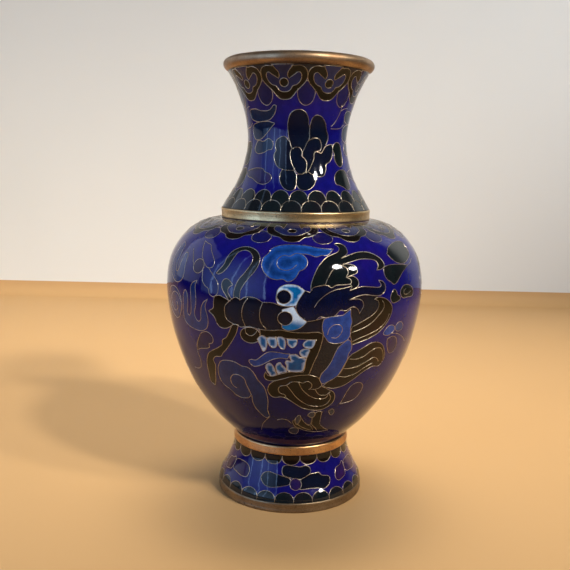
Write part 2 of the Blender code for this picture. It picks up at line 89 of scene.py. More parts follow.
def catmull(points, steps):
    """Centripetal Catmull-Rom through 2D points, open, this many steps to a span."""
    run = np.array(points, float)
    if len(run) < 3:
        share = np.linspace(0, 1, steps + 1)[:, None]
        return run[0] * (1 - share) + run[-1] * share
    run = np.vstack([2 * run[0] - run[1], run, 2 * run[-1] - run[-2]])
    out = []
    for i in range(1, len(run) - 2):
        p0, p1, p2, p3 = run[i - 1:i + 3]
        t0 = 0.0
        t1 = t0 + max(np.linalg.norm(p1 - p0), 1e-6) ** 0.5
        t2 = t1 + max(np.linalg.norm(p2 - p1), 1e-6) ** 0.5
        t3 = t2 + max(np.linalg.norm(p3 - p2), 1e-6) ** 0.5
        t = np.linspace(t1, t2, steps, endpoint=False)[:, None]
        a1 = (t1 - t) / (t1 - t0) * p0 + (t - t0) / (t1 - t0) * p1
        a2 = (t2 - t) / (t2 - t1) * p1 + (t - t1) / (t2 - t1) * p2
        a3 = (t3 - t) / (t3 - t2) * p2 + (t - t2) / (t3 - t2) * p3
        b1 = (t2 - t) / (t2 - t0) * a1 + (t - t0) / (t2 - t0) * a2
        b2 = (t3 - t) / (t3 - t1) * a2 + (t - t1) / (t3 - t1) * a3
        out.append((t2 - t) / (t2 - t1) * b1 + (t - t1) / (t2 - t1) * b2)
    out.append(run[-2][None])
    return np.vstack(out)


def evenly(line):
    """A polyline resampled at about the wires' spacing, keeping its two ends."""
    gaps = np.linalg.norm(np.diff(line, axis=0), axis=1)
    along = np.concatenate([[0], np.cumsum(gaps)])
    at = np.linspace(0, along[-1], max(2, round(along[-1] / WIRE_STEP) + 1))
    return np.column_stack([np.interp(at, along, line[:, k]) for k in range(2)])


def smoothstep(x):
    """0 below 0, 1 above 1, and an S-shaped rise between."""
    x = np.clip(x, 0, 1)
    return x * x * (3 - 2 * x)


def spun(turn, r, z):
    """Points at these radii and heights, turned round the axis from the front, in radians."""
    return np.column_stack([r * np.sin(turn), -r * np.cos(turn), z])


class Surface:
    """A glazed surface of revolution, unrolled to a plane: u across at the part's mean radius, v up.

    Below a given height its colours are darkened by a painted shade.
    """

    def __init__(self, name, knots, shade_from=0.0):
        self.name = name
        self.shade_from = shade_from
        dense = catmull(knots, KNOT_STEPS)[::-1]
        self.radius_at, self.height_at = dense[:, 0], dense[:, 1]
        steps = np.hypot(np.diff(self.radius_at), np.diff(self.height_at))
        self.v_at = np.concatenate([[0], np.cumsum(steps)])
        self.top = self.v_at[-1]
        self.scale = math.radians(1) * float(self.radius_at.mean())
        self.half = 180 * self.scale
        self.normal_r = np.gradient(self.height_at, self.v_at)
        self.normal_z = -np.gradient(self.radius_at, self.v_at)
        self.cells = []
        self.lines = []

    def plane(self, points):
        """(azimuth, height) points as plane points."""
        v = np.interp([p[1] for p in points], self.height_at, self.v_at)
        return np.column_stack([[p[0] * self.scale for p in points], v])

    def outline(self, points, closed):
        """A smooth wire line through (azimuth, height[, S]) points, in the plane."""
        flat = self.plane(points)
        sharp = [i for i, p in enumerate(points) if len(p) > 2]
        if closed and not sharp:
            ring = catmull(np.vstack([flat[-2:], flat, flat[:3]]), CURVE_STEPS)
            return evenly(ring[2 * CURVE_STEPS:(len(points) + 2) * CURVE_STEPS + 1])
        order = list(range(len(points)))
        if closed:
            order = order[sharp[0]:] + order[:sharp[0] + 1]
        pieces, span = [], [order[0]]
        for i in order[1:]:
            span.append(i)
            if i in sharp or i == order[-1]:
                pieces.append(evenly(catmull(flat[span], CURVE_STEPS)))
                span = [i]
        return np.vstack([pieces[0]] + [piece[1:] for piece in pieces[1:]])

    def cell(self, colour, points, wire=True, fade=None):
        """A closed cell over what is drawn so far.

        Its colour passes from rim to heart away from the wires, or from one (azimuth, height) point of
        fade to the other.
        """
        line = self.outline(points, closed=True)
        self.cells.append({"colour": colour, "line": line, "fade": fade})
        if wire:
            self.lines.append((line, len(self.cells)))

    def line(self, points):
        """An open wire over what is drawn so far."""
        self.lines.append((self.outline(points, closed=False), len(self.cells)))

    def read(self, plane_points):
        """Turn, radius, height and the outward normal's radial and upward parts, at plane points."""
        tables = (self.radius_at, self.height_at, self.normal_r, self.normal_z)
        turn = np.radians(plane_points[:, 0] / self.scale)
        return turn, *(np.interp(plane_points[:, 1], self.v_at, table) for table in tables)

    def place(self, plane_points, lift):
        """Plane points on the surface, raised by lift, in metres."""
        turn, r, z, nr, nz = self.read(plane_points)
        return spun(turn, r + lift * nr, z + lift * nz) * MM

    def end_cut(self, plane_points):
        """The glass's inner edge at an end: level, or straight below where the surface lies flat."""
        turn, r, z, nr, nz = self.read(plane_points)
        if abs(nr[0]) > abs(nz[0]):
            return spun(turn, r - ENAMEL / nr, z) * MM
        return spun(turn, r, z - ENAMEL / nz) * MM

    def normals(self, plane_points):
        """Outward unit normals at plane points."""
        turn, _, _, nr, nz = self.read(plane_points)
        out = spun(turn, nr, nz)
        return out / np.linalg.norm(out, axis=1)[:, None]

    def covered(self, polygon, points):
        """Which plane points lie in a closed polygon, on a surface that closes on itself all round."""
        hit = np.zeros(len(points), bool)
        low, high = polygon.min(0), polygon.max(0)
        for turn in (-2 * self.half, 0, 2 * self.half):
            shifted = points + [turn, 0]
            close = np.all((shifted >= low) & (shifted <= high), axis=1)
            if close.any():
                hit[close] |= inside(polygon, shifted[close])
        return hit


def inside(polygon, points):
    """Which points lie in a closed polygon, by counting crossings."""
    x, y = points[:, 0], points[:, 1]
    hit = np.zeros(len(points), bool)
    for (x1, y1), (x2, y2) in zip(polygon[:-1], polygon[1:]):
        if y1 != y2:
            crosses = (y1 > y) != (y2 > y)
            hit ^= crosses & (x < (x2 - x1) * (y - y1) / (y2 - y1) + x1)
    return hit


def add_piece(name, verts, faces, *materials):
    """A smooth-shaded mesh object, its vertices in metres."""
    mesh = bpy.data.meshes.new(name)
    mesh.from_pydata(verts, [], faces)
    mesh.shade_smooth()
    for material in materials:
        mesh.materials.append(material)
    made = bpy.data.objects.new(name, mesh)
    bpy.context.scene.collection.objects.link(made)
    return made


# ---------------------------------------------------------------- wires and glass

def seen_runs(surface):
    """The stretches of every wire that no later cell covers, cut off just short of the glass's ends."""
    low, high = WIRE_FREE_EDGE, surface.top - WIRE_FREE_EDGE

    def end_point(within, beyond):
        if low <= beyond[1] <= high:
            return beyond
        limit = low if beyond[1] < low else high
        return within + (limit - within[1]) / (beyond[1] - within[1]) * (beyond - within)

    runs = []
    for line, after in surface.lines:
        hidden = (line[:, 1] < low) | (line[:, 1] > high)
        for cell in surface.cells[after:]:
            hidden |= surface.covered(cell["line"], line)
        run = []
        for i, point in enumerate(line):
            if not hidden[i]:
                if i > 0 and hidden[i - 1]:
                    run.append(end_point(point, line[i - 1]))
                run.append(point)
            elif run:
                run.append(end_point(line[i - 1], point))
                runs.append(np.array(run))
                run = []
        runs.append(np.array(run))
    return [run for run in runs if len(run) > 1]


def split_at_seam(surface, runs):
    """Runs cut where they cross the back seam, with every part brought inside the plane's sheet."""
    out = []
    whole = 2 * surface.half
    for run in runs:
        lap = np.floor((run[:, 0] + surface.half) / whole)
        part = [run[0]]
        for i in range(1, len(run)):
            if lap[i] != lap[i - 1]:
                edge = max(lap[i], lap[i - 1]) * whole - surface.half
                share = (edge - run[i - 1, 0]) / (run[i, 0] - run[i - 1, 0])
                cut = np.array([edge, run[i - 1, 1] + share * (run[i, 1] - run[i - 1, 1])])
                out.append(np.array([*part, cut]) - [whole * lap[i - 1], 0])
                part = [cut]
            part.append(run[i])
        out.append(np.array(part) - [whole * lap[-1], 0])
    for part in out:
        at_seam = np.abs(np.abs(part[:, 0]) - surface.half) < NEAR
        part[at_seam, 0] = np.sign(part[at_seam, 0]) * surface.half
    return out


def wire_distance(runs):
    """A function that gives the distances from plane points to the nearest wire points."""
    wire_points = np.vstack(runs)
    tree = kdtree.KDTree(len(wire_points))
    for i, (u, v) in enumerate(wire_points):
        tree.insert((u, v, 0), i)
    tree.balance()
    return lambda points: np.array([tree.find((u, v, 0))[2] for u, v in points])


def sheet(surface, runs, distance):
    """Points and triangles of a fine sheet over the plane, whose edges follow the wires."""
    half, top = surface.half, surface.top
    us = np.linspace(-half, half, 8 * int(2 * half / GRID / 8) + 1)
    vs = np.linspace(0, top, round(top / GRID) + 1)
    grid = np.array([(u, v) for v in vs for u in us])
    edge = (np.abs(grid[:, 0]) == half) | (grid[:, 1] == 0) | (grid[:, 1] == top)
    verts = [tuple(p) for p in grid[(distance(grid) > 0.5 * GRID) | edge]]
    edges = []
    for run in runs:
        first = len(verts)
        verts += [tuple(p) for p in run]
        edges += [(first + i, first + i + 1) for i in range(len(run) - 1)]
        # both sides of the seam get the point where a wire meets it
        verts += [(side, v) for u, v in run if abs(u) == half for side in (-half, half)]
    out = delaunay_2d_cdt(verts, edges, [], 0, 1e-5)
    points = np.array([tuple(p) for p in out[0]])
    faces = np.array([f for f in out[2] if len(f) == 3])
    # a sliver with all its corners on one side of the sheet would bridge the curved surface
    u, v = points[faces][..., 0], points[faces][..., 1]
    sides = (u > half - NEAR, u < NEAR - half, v < NEAR, v > top - NEAR)
    return points, faces[~np.any([side.all(1) for side in sides], axis=0)]


def cell_colours(surface, points, faces, distance, palette):
    """The colour of each triangle's corners, from the last drawn cell that its middle lies in, darkened low
    down by a painted shade.
    """
    middle = points[faces].mean(1)
    owner = np.full(len(faces), -1)
    for number, cell in enumerate(surface.cells):
        owner[surface.covered(cell["line"], middle)] = number
    colours = np.ones((len(faces), 3, 4))
    depth = distance(points)
    ground = {"colour": "ground", "fade": None}
    for number, cell in [(-1, ground), *enumerate(surface.cells)]:
        mine = owner == number
        rim, heart, width = palette[cell["colour"]]
        share = depth[faces[mine]] / width
        if cell["fade"]:
            start, end = surface.plane(cell["fade"])
            share = ((points[faces[mine]] - start) @ (end - start)) / ((end - start) @ (end - start))
        share = smoothstep(share)[..., None]
        colours[mine, :, :3] = np.array(rim) * (1 - share) + np.array(heart) * share
    # painted shade: colours darkened towards the bottom of the body, where its underside turns away from the
    # light
    height = np.interp(points[faces][..., 1], surface.v_at, surface.height_at)
    low = smoothstep((surface.shade_from - height) / UNDERSIDE_SHADE_OVER)[..., None]
    colours[..., :3] *= 1 - low * (1 - np.array(UNDERSIDE_SHADE_TINT))
    return colours


def weld_seam(surface, points, faces, colours):
    """The faces and colours with the sheet's right side joined to the points of its left side."""
    left = {v: i for i, (u, v) in enumerate(points) if u < NEAR - surface.half}
    same = np.arange(len(points))
    for i, (u, v) in enumerate(points):
        if u > surface.half - NEAR:
            same[i] = left[min(left, key=lambda other: abs(other - v))]
    faces = same[faces]
    whole = [len(set(face)) == 3 for face in faces.tolist()]
    return faces[whole], colours[whole]


def glass_mesh(surface, runs, palette, name):
    """The enamel: one fine closed shell whose faces meet along the wires, coloured cell by cell."""
    distance = wire_distance(runs)
    points, faces = sheet(surface, runs, distance)
    colours = cell_colours(surface, points, faces, distance, palette)
    faces, colours = weld_seam(surface, points, faces, colours)
    ends = []
    for v in (surface.top, 0.0):
        row = np.where((np.abs(points[:, 1] - v) < NEAR) & (points[:, 0] < surface.half - NEAR))[0]
        ends.append(row[np.argsort(points[row, 0])])
    # the inner side: rings of points from the top end to the bottom end
    u = points[ends[0], 0]
    count = len(u)
    verts = [tuple(p) for p in surface.place(points, 0.0)]
    rings = [ends[0]]
    levels = np.linspace(surface.top, 0, INNER_ROWS)
    for v in levels:
        flat = np.column_stack([u, np.full(count, v)])
        at_end = v in (levels[0], levels[-1])
        rings.append(np.arange(len(verts), len(verts) + count))
        verts += [tuple(p) for p in (surface.end_cut(flat) if at_end else surface.place(flat, -ENAMEL))]
    rings.append(ends[1])
    quads, quad_normals = [], []
    for number, (upper, lower) in enumerate(zip(rings, rings[1:])):
        for i in range(count):
            k = (i + 1) % count
            quads.append((upper[i], upper[k], lower[k], lower[i]))
            if number in (0, len(rings) - 2):
                corner = np.array([verts[q] for q in quads[-1]])
                normal = np.cross(corner[2] - corner[0], corner[3] - corner[1])
                quad_normals += [normal / np.linalg.norm(normal)] * 4
            else:
                high, low = levels[number - 1], levels[number]
                flat = np.array([(u[i], high), (u[k], high), (u[k], low), (u[i], low)])
                quad_normals += list(-surface.normals(flat))
    quads = np.array(quads)
    used = np.unique(np.concatenate([faces.ravel(), quads.ravel()]))
    renumber = np.full(len(verts), -1)
    renumber[used] = np.arange(len(used))
    glass = add_piece(name, [verts[i] for i in used], renumber[faces].tolist() + renumber[quads].tolist())
    attribute = glass.data.color_attributes.new("glass_colour", "FLOAT_COLOR", "CORNER")
    inner_colours = np.tile(INNER_COLOUR, quads.size)
    attribute.data.foreach_set("color", np.concatenate([colours.ravel(), inner_colours]))
    sheet_normals = surface.normals(points)[faces.ravel()]
    glass.data.normals_split_custom_set(np.vstack([sheet_normals, quad_normals]).tolist())
    return glass


def wire_mesh(surface, runs, name):
    """Every wire run as a thin closed bar, a little narrower at its top, set into the glass."""
    verts, faces = [], []
    foot, crown = WIRE_WIDTH / 2, WIRE_CROWN * WIRE_WIDTH / 2
    section = [(-foot, -WIRE_ROOT), (-crown, WIRE_PROUD), (crown, WIRE_PROUD), (foot, -WIRE_ROOT)]
    for run in runs:
        middle = surface.place(run, 0.0)
        up = surface.normals(run)
        along = np.gradient(middle, axis=0)
        along /= np.linalg.norm(along, axis=1)[:, None] + 1e-12
        side = np.cross(along, up)
        first = len(verts)
        for m, n, s in zip(middle, up, side):
            verts += [tuple(m + (a * s + b * n) * MM) for a, b in section]
        last = len(verts) - 4
        for a in range(first, last, 4):
            faces += [(a + k, a + 4 + k, a + 4 + (k + 1) % 4, a + (k + 1) % 4) for k in range(4)]
        faces += [(first, first + 1, first + 2, first + 3), (last + 3, last + 2, last + 1, last)]
    return add_piece(name, verts, faces)


# ---------------------------------------------------------------- the picture on the body

def moved(points, across=0.0, up=0.0, flip=False, turn=0.0, about=(0.0, 0.0)):
    """Outline points mirrored or turned about a point, then slid."""
    c, s = math.cos(math.radians(turn)), math.sin(math.radians(turn))
    out = []
    for azimuth, height, *rest in points:
        x = (azimuth - about[0]) * DEGREE * (-1 if flip else 1)
        y = height - about[1]
        out.append(((x * c - y * s) / DEGREE + about[0] + across, x * s + y * c + about[1] + up, *rest))
    return out


def disc(azimuth, height, across, up, count=8):
    """An oval outline: its centre, its reach across in degrees and up in mm."""
    return [
        (azimuth + across * math.cos(math.tau * k / count), height + up * math.sin(math.tau * k / count))
        for k in range(count)
    ]


TOP_CLOUD = [
    (-13.4, 87), (-12.9, 89), (-11.2, 90.2), (-10, 91.6), (-6.5, 92.5), (-2, 92.8), (5, 92.6), (11, 91.9),
    (17.2, 91.6, S), (14, 89.9), (11.5, 89.9), (9, 89.5), (6, 90.1), (3, 90.3, S), (5.1, 88.9), (5.2, 87.3),
    (3.7, 85.9), (2, 85.4), (1.2, 84.2), (-0.3, 82.9), (-2.6, 82.3), (-4.3, 83), (-6.3, 82.8), (-9, 83.1),
    (-11.5, 84.4), (-13, 86),
]
TOP_CLOUD_CURL = [
    (3, 90.3), (0.5, 90.4), (-2, 89.6), (-4.5, 89.8), (-6.7, 88.8), (-7.2, 87.4), (-6, 86.1), (-3.5, 85.6),
    (-1, 86), (1, 87.2),
]
LOW_CLOUD = [
    (-36.2, 50.5), (-35.2, 53), (-32.5, 55.2), (-28.5, 55.8), (-25, 55.5), (-22.5, 54.6), (-19.5, 54.3),
    (-17, 52.6), (-15.6, 50.4), (-13, 48), (-11.9, 45), (-11.8, 42), (-12.6, 39), (-11.9, 36.2, S),
    (-14.5, 35.6), (-17.2, 37.2), (-19.3, 39.2), (-20.1, 41.5), (-20, 44.3), (-21.5, 43.2), (-25, 42.6),
    (-28.5, 43.2), (-31.5, 45), (-35, 46.6), (-36.2, 48.5),
]
LOW_CLOUD_CURL = [
    (-20, 44.3), (-20.8, 46.3), (-21.7, 48.3), (-22, 49.8), (-24, 51), (-27, 51.1), (-29, 50),
    (-29.8, 48.5), (-29, 46.8), (-27.3, 46.1),
]
COMB_CLOUD = [
    (-36.8, 69.5), (-37.8, 72.5), (-36.5, 75, S), (-38.5, 74), (-40, 72.3), (-40.6, 70), (-41, 68),
    (-42.5, 67.2), (-44, 68), (-44.6, 69.8), (-43.3, 72.5), (-43.4, 76), (-43.9, 78.5), (-43, 80.3, S),
    (-45.5, 79.5), (-46.8, 78.2), (-46.6, 75), (-46.5, 71.5), (-47.2, 69.3), (-48.6, 68.4), (-49.6, 69.2),
    (-49, 71.5), (-48.8, 74), (-49.5, 75.8), (-50.8, 76.6), (-52, 75.3), (-52.5, 72), (-53, 69),
    (-52.5, 66.5), (-50, 65), (-46, 64.3), (-41.5, 64.2), (-38, 65.5), (-36.8, 67.5),
]


def dragon_head(body):
    """The head in profile, looking left, from what lies furthest back to what lies in front."""
    body.cell("smoke", [
        (20, 72.6), (22.6, 68), (23, 66), (25, 64), (36, 72), (37, 75), (36, 77), (30, 78.4), (22, 77.4),
    ], wire=False)
    # mane behind the jaw
    body.cell("olive", [
        (25.5, 59.2, S), (28, 60), (32, 61.5), (35, 62.3), (38, 62.2), (41, 61.2), (43.5, 59), (45, 56.8),
        (44.5, 54.8), (42.5, 53.5), (39, 53.8), (36, 53.2), (33, 52), (29, 50), (25, 48.3), (20, 47.5),
        (14.2, 48.5, S), (17, 50.4), (20.5, 52), (22.3, 54), (23.5, 56.5), (24.2, 58),
    ], fade=((20, 52), (36, 57)))
    body.line([
        (25, 57.6), (28, 57.3), (32, 58), (35, 59.4), (38, 60.2), (41, 59.8), (43.5, 57.5), (44.6, 55.4),
    ])
    body.line([(22.8, 54.5), (26, 54.3), (30, 54.6), (34, 55.9), (38, 57), (40, 56.4), (41.5, 55.3)])
    body.line([(20.5, 51.9), (25, 51.4), (30, 52.3), (34, 54), (38, 55)])
    body.cell("olive", [
        (33.5, 76.5, S), (35.5, 75.8), (36, 74.5), (35, 72.8), (33, 71.5), (29, 70), (24, 68.3, S),
        (23.4, 66.4), (24.3, 64), (25, 62.4, S), (28, 63), (33, 64), (37, 65.3), (40, 67), (42.5, 69.3),
        (43.8, 71.5), (43.7, 73.2), (42, 75), (39, 76.4), (36, 76.9),
    ], fade=((25, 66), (37, 69)))
    body.line([(37.8, 75.7), (39, 74.4), (38.5, 73), (36, 71), (33, 69), (28, 67.3), (24, 66.5)])
    body.line([(42.4, 71.2), (41, 69), (37.5, 66.8), (33, 65.5), (28, 64.4), (24.6, 63.4)])
    # horns and ear
    body.cell("bottle", [
        (6.5, 80.2, S), (6.8, 82), (8, 84.5), (10.2, 87.2), (13.5, 89.3), (17, 90.3), (19.3, 91), (20, 92),
        (18.2, 93, S), (20.5, 93.2), (23, 92.5), (23.6, 91), (22.5, 89.9), (20, 89, S), (24, 89.9),
        (29, 90.6), (34, 90.4), (38, 89.3), (40.4, 87.8), (40.7, 86.2), (38.5, 85.3), (35.8, 85.2, S),
        (37.2, 86.4), (36.8, 87.7), (34, 88.4), (29, 88.6), (25, 88.1), (20, 87.3, S), (23.5, 87.3),
        (26, 86.4), (26, 84.8), (23.5, 84.1), (21, 83.6, S), (23.6, 83.9), (25.8, 82.9), (26.3, 81.3),
        (25, 80.3), (22.2, 79.6, S), (20, 79), (10, 79),
    ])
    body.line([(12.2, 81.5), (13.5, 83.6), (16, 86), (19, 87), (21.3, 86.4), (22, 84.8), (21, 83.7)])
    body.line([(21, 83.6), (22.8, 82.9), (23, 81.8), (22, 81.4)])
    # brow and the lock behind it
    body.cell("navy", [
        (4.3, 79.8, S), (6.2, 79.3, S), (7.5, 80.7), (10, 81.2), (13, 81.3), (14.7, 80.6), (16.5, 81.3),
        (20, 81.4), (22.5, 81.5, S), (23.2, 80.8), (22.2, 79.6, S), (24, 80), (28, 80.6), (33, 80.2),
        (36.5, 80), (37.3, 80.6), (36, 82.1, S), (38.2, 81.7), (39.6, 80.3), (39.2, 78.6), (37, 77.5),
        (33, 77.6), (29, 78.1), (25, 77.6), (22, 76.8, S), (25, 77), (27.6, 76.4), (28.4, 74.8),
        (26.8, 72.4, S), (25.6, 74), (23.5, 74.6), (20.5, 73.5), (18.3, 73.7), (16, 72), (12.5, 71.6),
        (10.3, 71.9), (8.8, 70.9), (5.3, 70.4, S), (2.6, 72), (1.2, 73.8), (1, 75.3), (2.2, 77.5),
    ])
    body.line([(8, 74.8), (9.5, 76.6), (12.5, 78.6), (16, 79.9), (20, 80.4), (23, 80.9)])
    # whiskers
    body.cell("bottle", [
        (-33, 83.4, S), (-31.5, 84.8), (-30, 86.3), (-29.5, 88.3), (-27.5, 90.3), (-24, 91.5), (-20, 91.6),
        (-16.5, 90.7), (-14.6, 89), (-14.6, 86.8), (-16, 84.7), (-18, 82.8), (-20, 80.6), (-21.2, 78.6),
        (-21.2, 75.5, S), (-24, 75.5, S), (-23.8, 79), (-22.3, 82), (-19.8, 84.5), (-17.8, 87),
        (-17.6, 88.8), (-19.4, 90.2), (-22, 90.7), (-24.7, 90), (-26.4, 88), (-27.8, 85.7), (-30, 83.8),
        (-32, 83.1),
    ])
    body.cell("bottle", [
        (-25.5, 75, S), (-28, 77.5), (-29.5, 79.2), (-29.5, 81), (-28, 82.1), (-26.3, 81.7),
        (-24.5, 80.4, S), (-26.2, 79.6), (-26.6, 78.2), (-25.8, 77), (-24, 75.5, S),
    ])
    body.cell("umber", [
        (-24.8, 68.2, S), (-26.5, 65.5), (-28.3, 63.5), (-30, 62.7), (-30.7, 61), (-33, 59.7), (-36, 58.5),
        (-39, 57.2), (-41, 55.2), (-42.3, 53), (-43, 50), (-43.8, 47.5), (-43.5, 45.8), (-41.5, 45.3),
        (-40, 46.8), (-38.8, 49), (-37.5, 51.5), (-36.8, 53), (-37.3, 55), (-35.5, 56.3), (-32.2, 56.8),
        (-31, 58), (-29, 59.4), (-27, 61.2), (-25, 63.2), (-23.3, 65.3), (-22, 68.2, S),
    ])
    # cheek: frill, smoky hollow and cloud-shaped jowl
    body.cell("smoke", [
        (11, 66, S), (14, 65.5), (20, 62.6), (18, 60), (16.8, 57), (15, 54.6), (13, 52.5), (12.8, 50.5),
        (10, 51.5), (6.5, 52.4, S), (8.8, 57), (10.5, 61),
    ], wire=False)
    body.cell("royal", [
        (22.5, 64.3, S), (24, 63.7), (25, 61), (24, 59.5), (23.8, 57.5), (23, 56), (22, 54), (20.5, 52),
        (17, 50.3), (14, 49.5), (12.5, 51), (13, 53), (15, 55), (16.5, 57), (17.8, 60), (19, 62),
        (20.5, 63),
    ])
    body.cell("royal", [
        (11.3, 69), (12, 71), (13.5, 71.7), (17, 72), (19.5, 72.2), (21, 73), (22.7, 74, S), (23, 72),
        (23.7, 70), (23.3, 68), (23.6, 66), (22.7, 64.5), (21, 63.6), (19.5, 63.3), (17, 63.2),
        (14.5, 63.8), (13, 65.2), (12, 66.3), (11.4, 67.5),
    ])
    body.line([
        (13.8, 66.2), (14.3, 68), (16, 69.2), (18.5, 69.2), (19.8, 68), (19.2, 66.2), (17.3, 65),
        (15.5, 65.2),
    ])
    # beard
    body.cell("olive", [
        (-8, 50.3, S), (-10.2, 48.9), (-11.2, 46.8), (-10, 44.8), (-8, 44.2), (-5, 44.6), (-3, 44.2),
        (0, 43), (3, 41.5), (6, 40.3), (10, 39.5), (15, 39.3), (19, 40.2), (21.5, 42), (21.8, 44),
        (20.5, 46), (17.5, 47.2), (14.2, 48.5, S), (13.2, 50), (11.5, 51.8), (9, 52.5), (5, 53), (0, 53),
        (-5, 51.5),
    ])
    body.line([
        (-3, 44.4), (-2.9, 45.3), (-5.4, 46), (-6.2, 47.4), (-5, 48.6), (-2.3, 49), (0, 50.2), (3, 50.3),
        (5, 49.9), (7, 50.5), (9, 49.6), (9.2, 48.4), (8, 47.5),
    ])
    body.line([
        (-2.3, 49), (0, 46.8), (2.5, 44.5), (6, 42.5), (10, 41.2), (14.5, 40.8), (18, 41.5), (19.5, 43),
        (19.4, 44.5), (18.3, 45.4),
    ])
    body.line([(3, 50.3), (4.5, 48), (7, 46), (10, 44.6), (14, 43.8), (17, 44), (18, 45.2)])
    body.line([(8, 47.5), (10.8, 47.5), (12, 46.4), (13.5, 45.4), (17, 45.2), (18.8, 46.4)])
    body.line([(10.8, 47.5), (12.8, 48), (13.8, 48.8)])
    # jaws
    body.cell("umber", [
        (-13.5, 67.8, S), (0, 68), (11.8, 67.2), (12, 65.5), (11.5, 63), (10.5, 60), (9, 57), (7.6, 53.5),
        (7.2, 52.8, S), (3, 52.6), (-1, 52), (-5, 51), (-9, 50.3), (-11.5, 50.7), (-12.3, 51.6),
        (-11.5, 53.4, S), (-10.6, 52.2), (-9, 52), (-6, 52.7), (-2, 53.6), (2, 53.9), (4.5, 53.8),
        (5.2, 54.5), (5.8, 58), (7, 61.5), (9.4, 64.6, S), (5, 64.8), (0, 65), (-3.5, 65.1), (-6, 65.4),
        (-10, 64.9), (-12, 65.6), (-14.3, 64.5, S), (-12.8, 66.3),
    ])
    body.cell("umber", disc(-17.1, 65.3, 4.3, 2.55))
    body.line([(-19.2, 67.4), (-18.8, 65.8), (-17, 65.1), (-15.2, 65.8), (-14, 67.2)])
    # nose and snout
    body.cell("umber", [
        (-33, 76.3, S), (-30.5, 76.8), (-28, 76.2), (-24, 75, S), (-24, 68.4, S), (-25.4, 67.5),
        (-28, 66.6), (-30.5, 66.7), (-32, 67.8), (-33.2, 69.8), (-36, 71.4, S), (-33.5, 72.6),
        (-33.3, 74.5),
    ])
    body.cell("night", [
        (-25, 76, S), (-23, 76.8), (-21, 76.1, S), (-19, 77.1), (-15, 77.1), (-12, 75.9, S), (-8, 75.9),
        (-4.5, 75.1), (0, 75, S), (2.6, 72), (5.3, 70.4, S), (8.8, 70.9), (12, 71.6, S), (11.4, 69),
        (12, 66.4, S), (10, 67), (5, 66.9), (0, 67), (-5, 67.6), (-9, 67.3), (-13.5, 67.5, S), (-17, 68),
        (-21, 67.6, S), (-23, 68.2), (-25, 68.6), (-27.3, 69.8), (-28, 71.8), (-27.7, 73.8),
    ])
    body.line([(-18, 76.8), (-19.6, 74.8), (-20.4, 72.5), (-20, 70), (-19, 68)])
    body.line([(-11.8, 75.9), (-12.9, 73.5), (-13, 71), (-12.2, 69.2), (-10.5, 67.6)])
    # eyes
    body.cell("eye", [
        (-6.6, 78), (-6, 80), (-4.2, 81.2), (-1.5, 81.6), (1.5, 81.2), (4.3, 79.8, S), (2.9, 78.2),
        (1.8, 76.8), (1, 75.3, S), (-2, 75), (-5, 75.3), (-6.5, 76.4),
    ])
    body.cell("night", disc(-3.7, 77.8, 2.75, 2.05))
    body.cell("eye", [
        (-4.3, 74, S), (-2, 74.6), (0, 75), (1, 73.8), (2.6, 72), (5.3, 70.4, S), (4, 69.2), (2, 68.1),
        (-0.5, 67.6), (-2.5, 67.6), (-4.3, 68.3, S),
    ], fade=((0.9, 71.6), (-0.2, 69.2)))
    body.cell("night", disc(-3.1, 71.3, 2.9, 2.15))


def dragon_mouth(body):
    """What shows between the jaws: tongue and teeth."""
    body.cell("mouth", [
        (-11, 61.5), (-9, 64), (0, 64.5), (7, 64), (5, 59), (0, 56), (-6, 57.4), (-6, 58.5), (-1.5, 58.8),
        (-4, 60.2), (-8, 60.4),
    ], wire=False)
    body.cell("royal", [
        (-18.6, 56.8), (-17.5, 57.3), (-15.5, 57.2), (-13, 58.6), (-10, 60.2), (-7, 60.4), (-3, 60),
        (-1, 59.9, S), (-1.5, 59), (-2, 58.3), (-4.5, 58.5), (-8, 57.9), (-11, 56.6), (-14, 55.4),
        (-16.5, 55), (-18, 55.7),
    ])
    for tooth in (
        [(-14.3, 64.3, S), (-12.5, 65.5), (-10.6, 65), (-10.2, 63), (-11, 60.8), (-12, 60.3), (-13, 62)],
        [(-10.2, 64.9), (-9.3, 62.5), (-8, 61.7), (-6.5, 62.2), (-6.2, 64.3), (-7, 65.1)],
        [(-6.2, 65.2), (-4.8, 65.5), (-3.2, 64.9), (-2.8, 62.8), (-3.5, 61.3), (-5, 61.9), (-6, 63.5)],
        [(-2.3, 64.9, S), (1.9, 64.8, S), (1.5, 63), (0, 62), (-1.6, 62.8)],
        [(4.1, 63), (5.8, 64.6), (9.2, 64.6, S), (8.8, 63), (7.5, 61.8), (5.4, 62)],
        [(2.9, 60.5), (4.5, 61.7), (7, 61.5), (6.6, 60), (6, 58.8, S), (4, 59.1)],
        [
            (-1.2, 59.6), (1.5, 59.8), (3, 59), (5.8, 58.4, S), (5.3, 56), (4.8, 54.5), (3.5, 53.9),
            (-0.5, 53.9), (-2.3, 54.6), (-2.3, 56), (-3, 57), (-2, 57.8), (-0.5, 57.5),
        ],
        [(-6.9, 55.8), (-5.8, 56.8), (-4.8, 56.9), (-4, 56), (-2.5, 54.8), (-2.2, 53.9), (-4.5, 53.5),
         (-6, 53)],
        [(-11.3, 55.5), (-9.5, 56.6), (-8, 55.5), (-7.2, 54), (-6.8, 52.6), (-9, 52), (-10.3, 53)],
    ):
        body.cell("tooth", tooth)


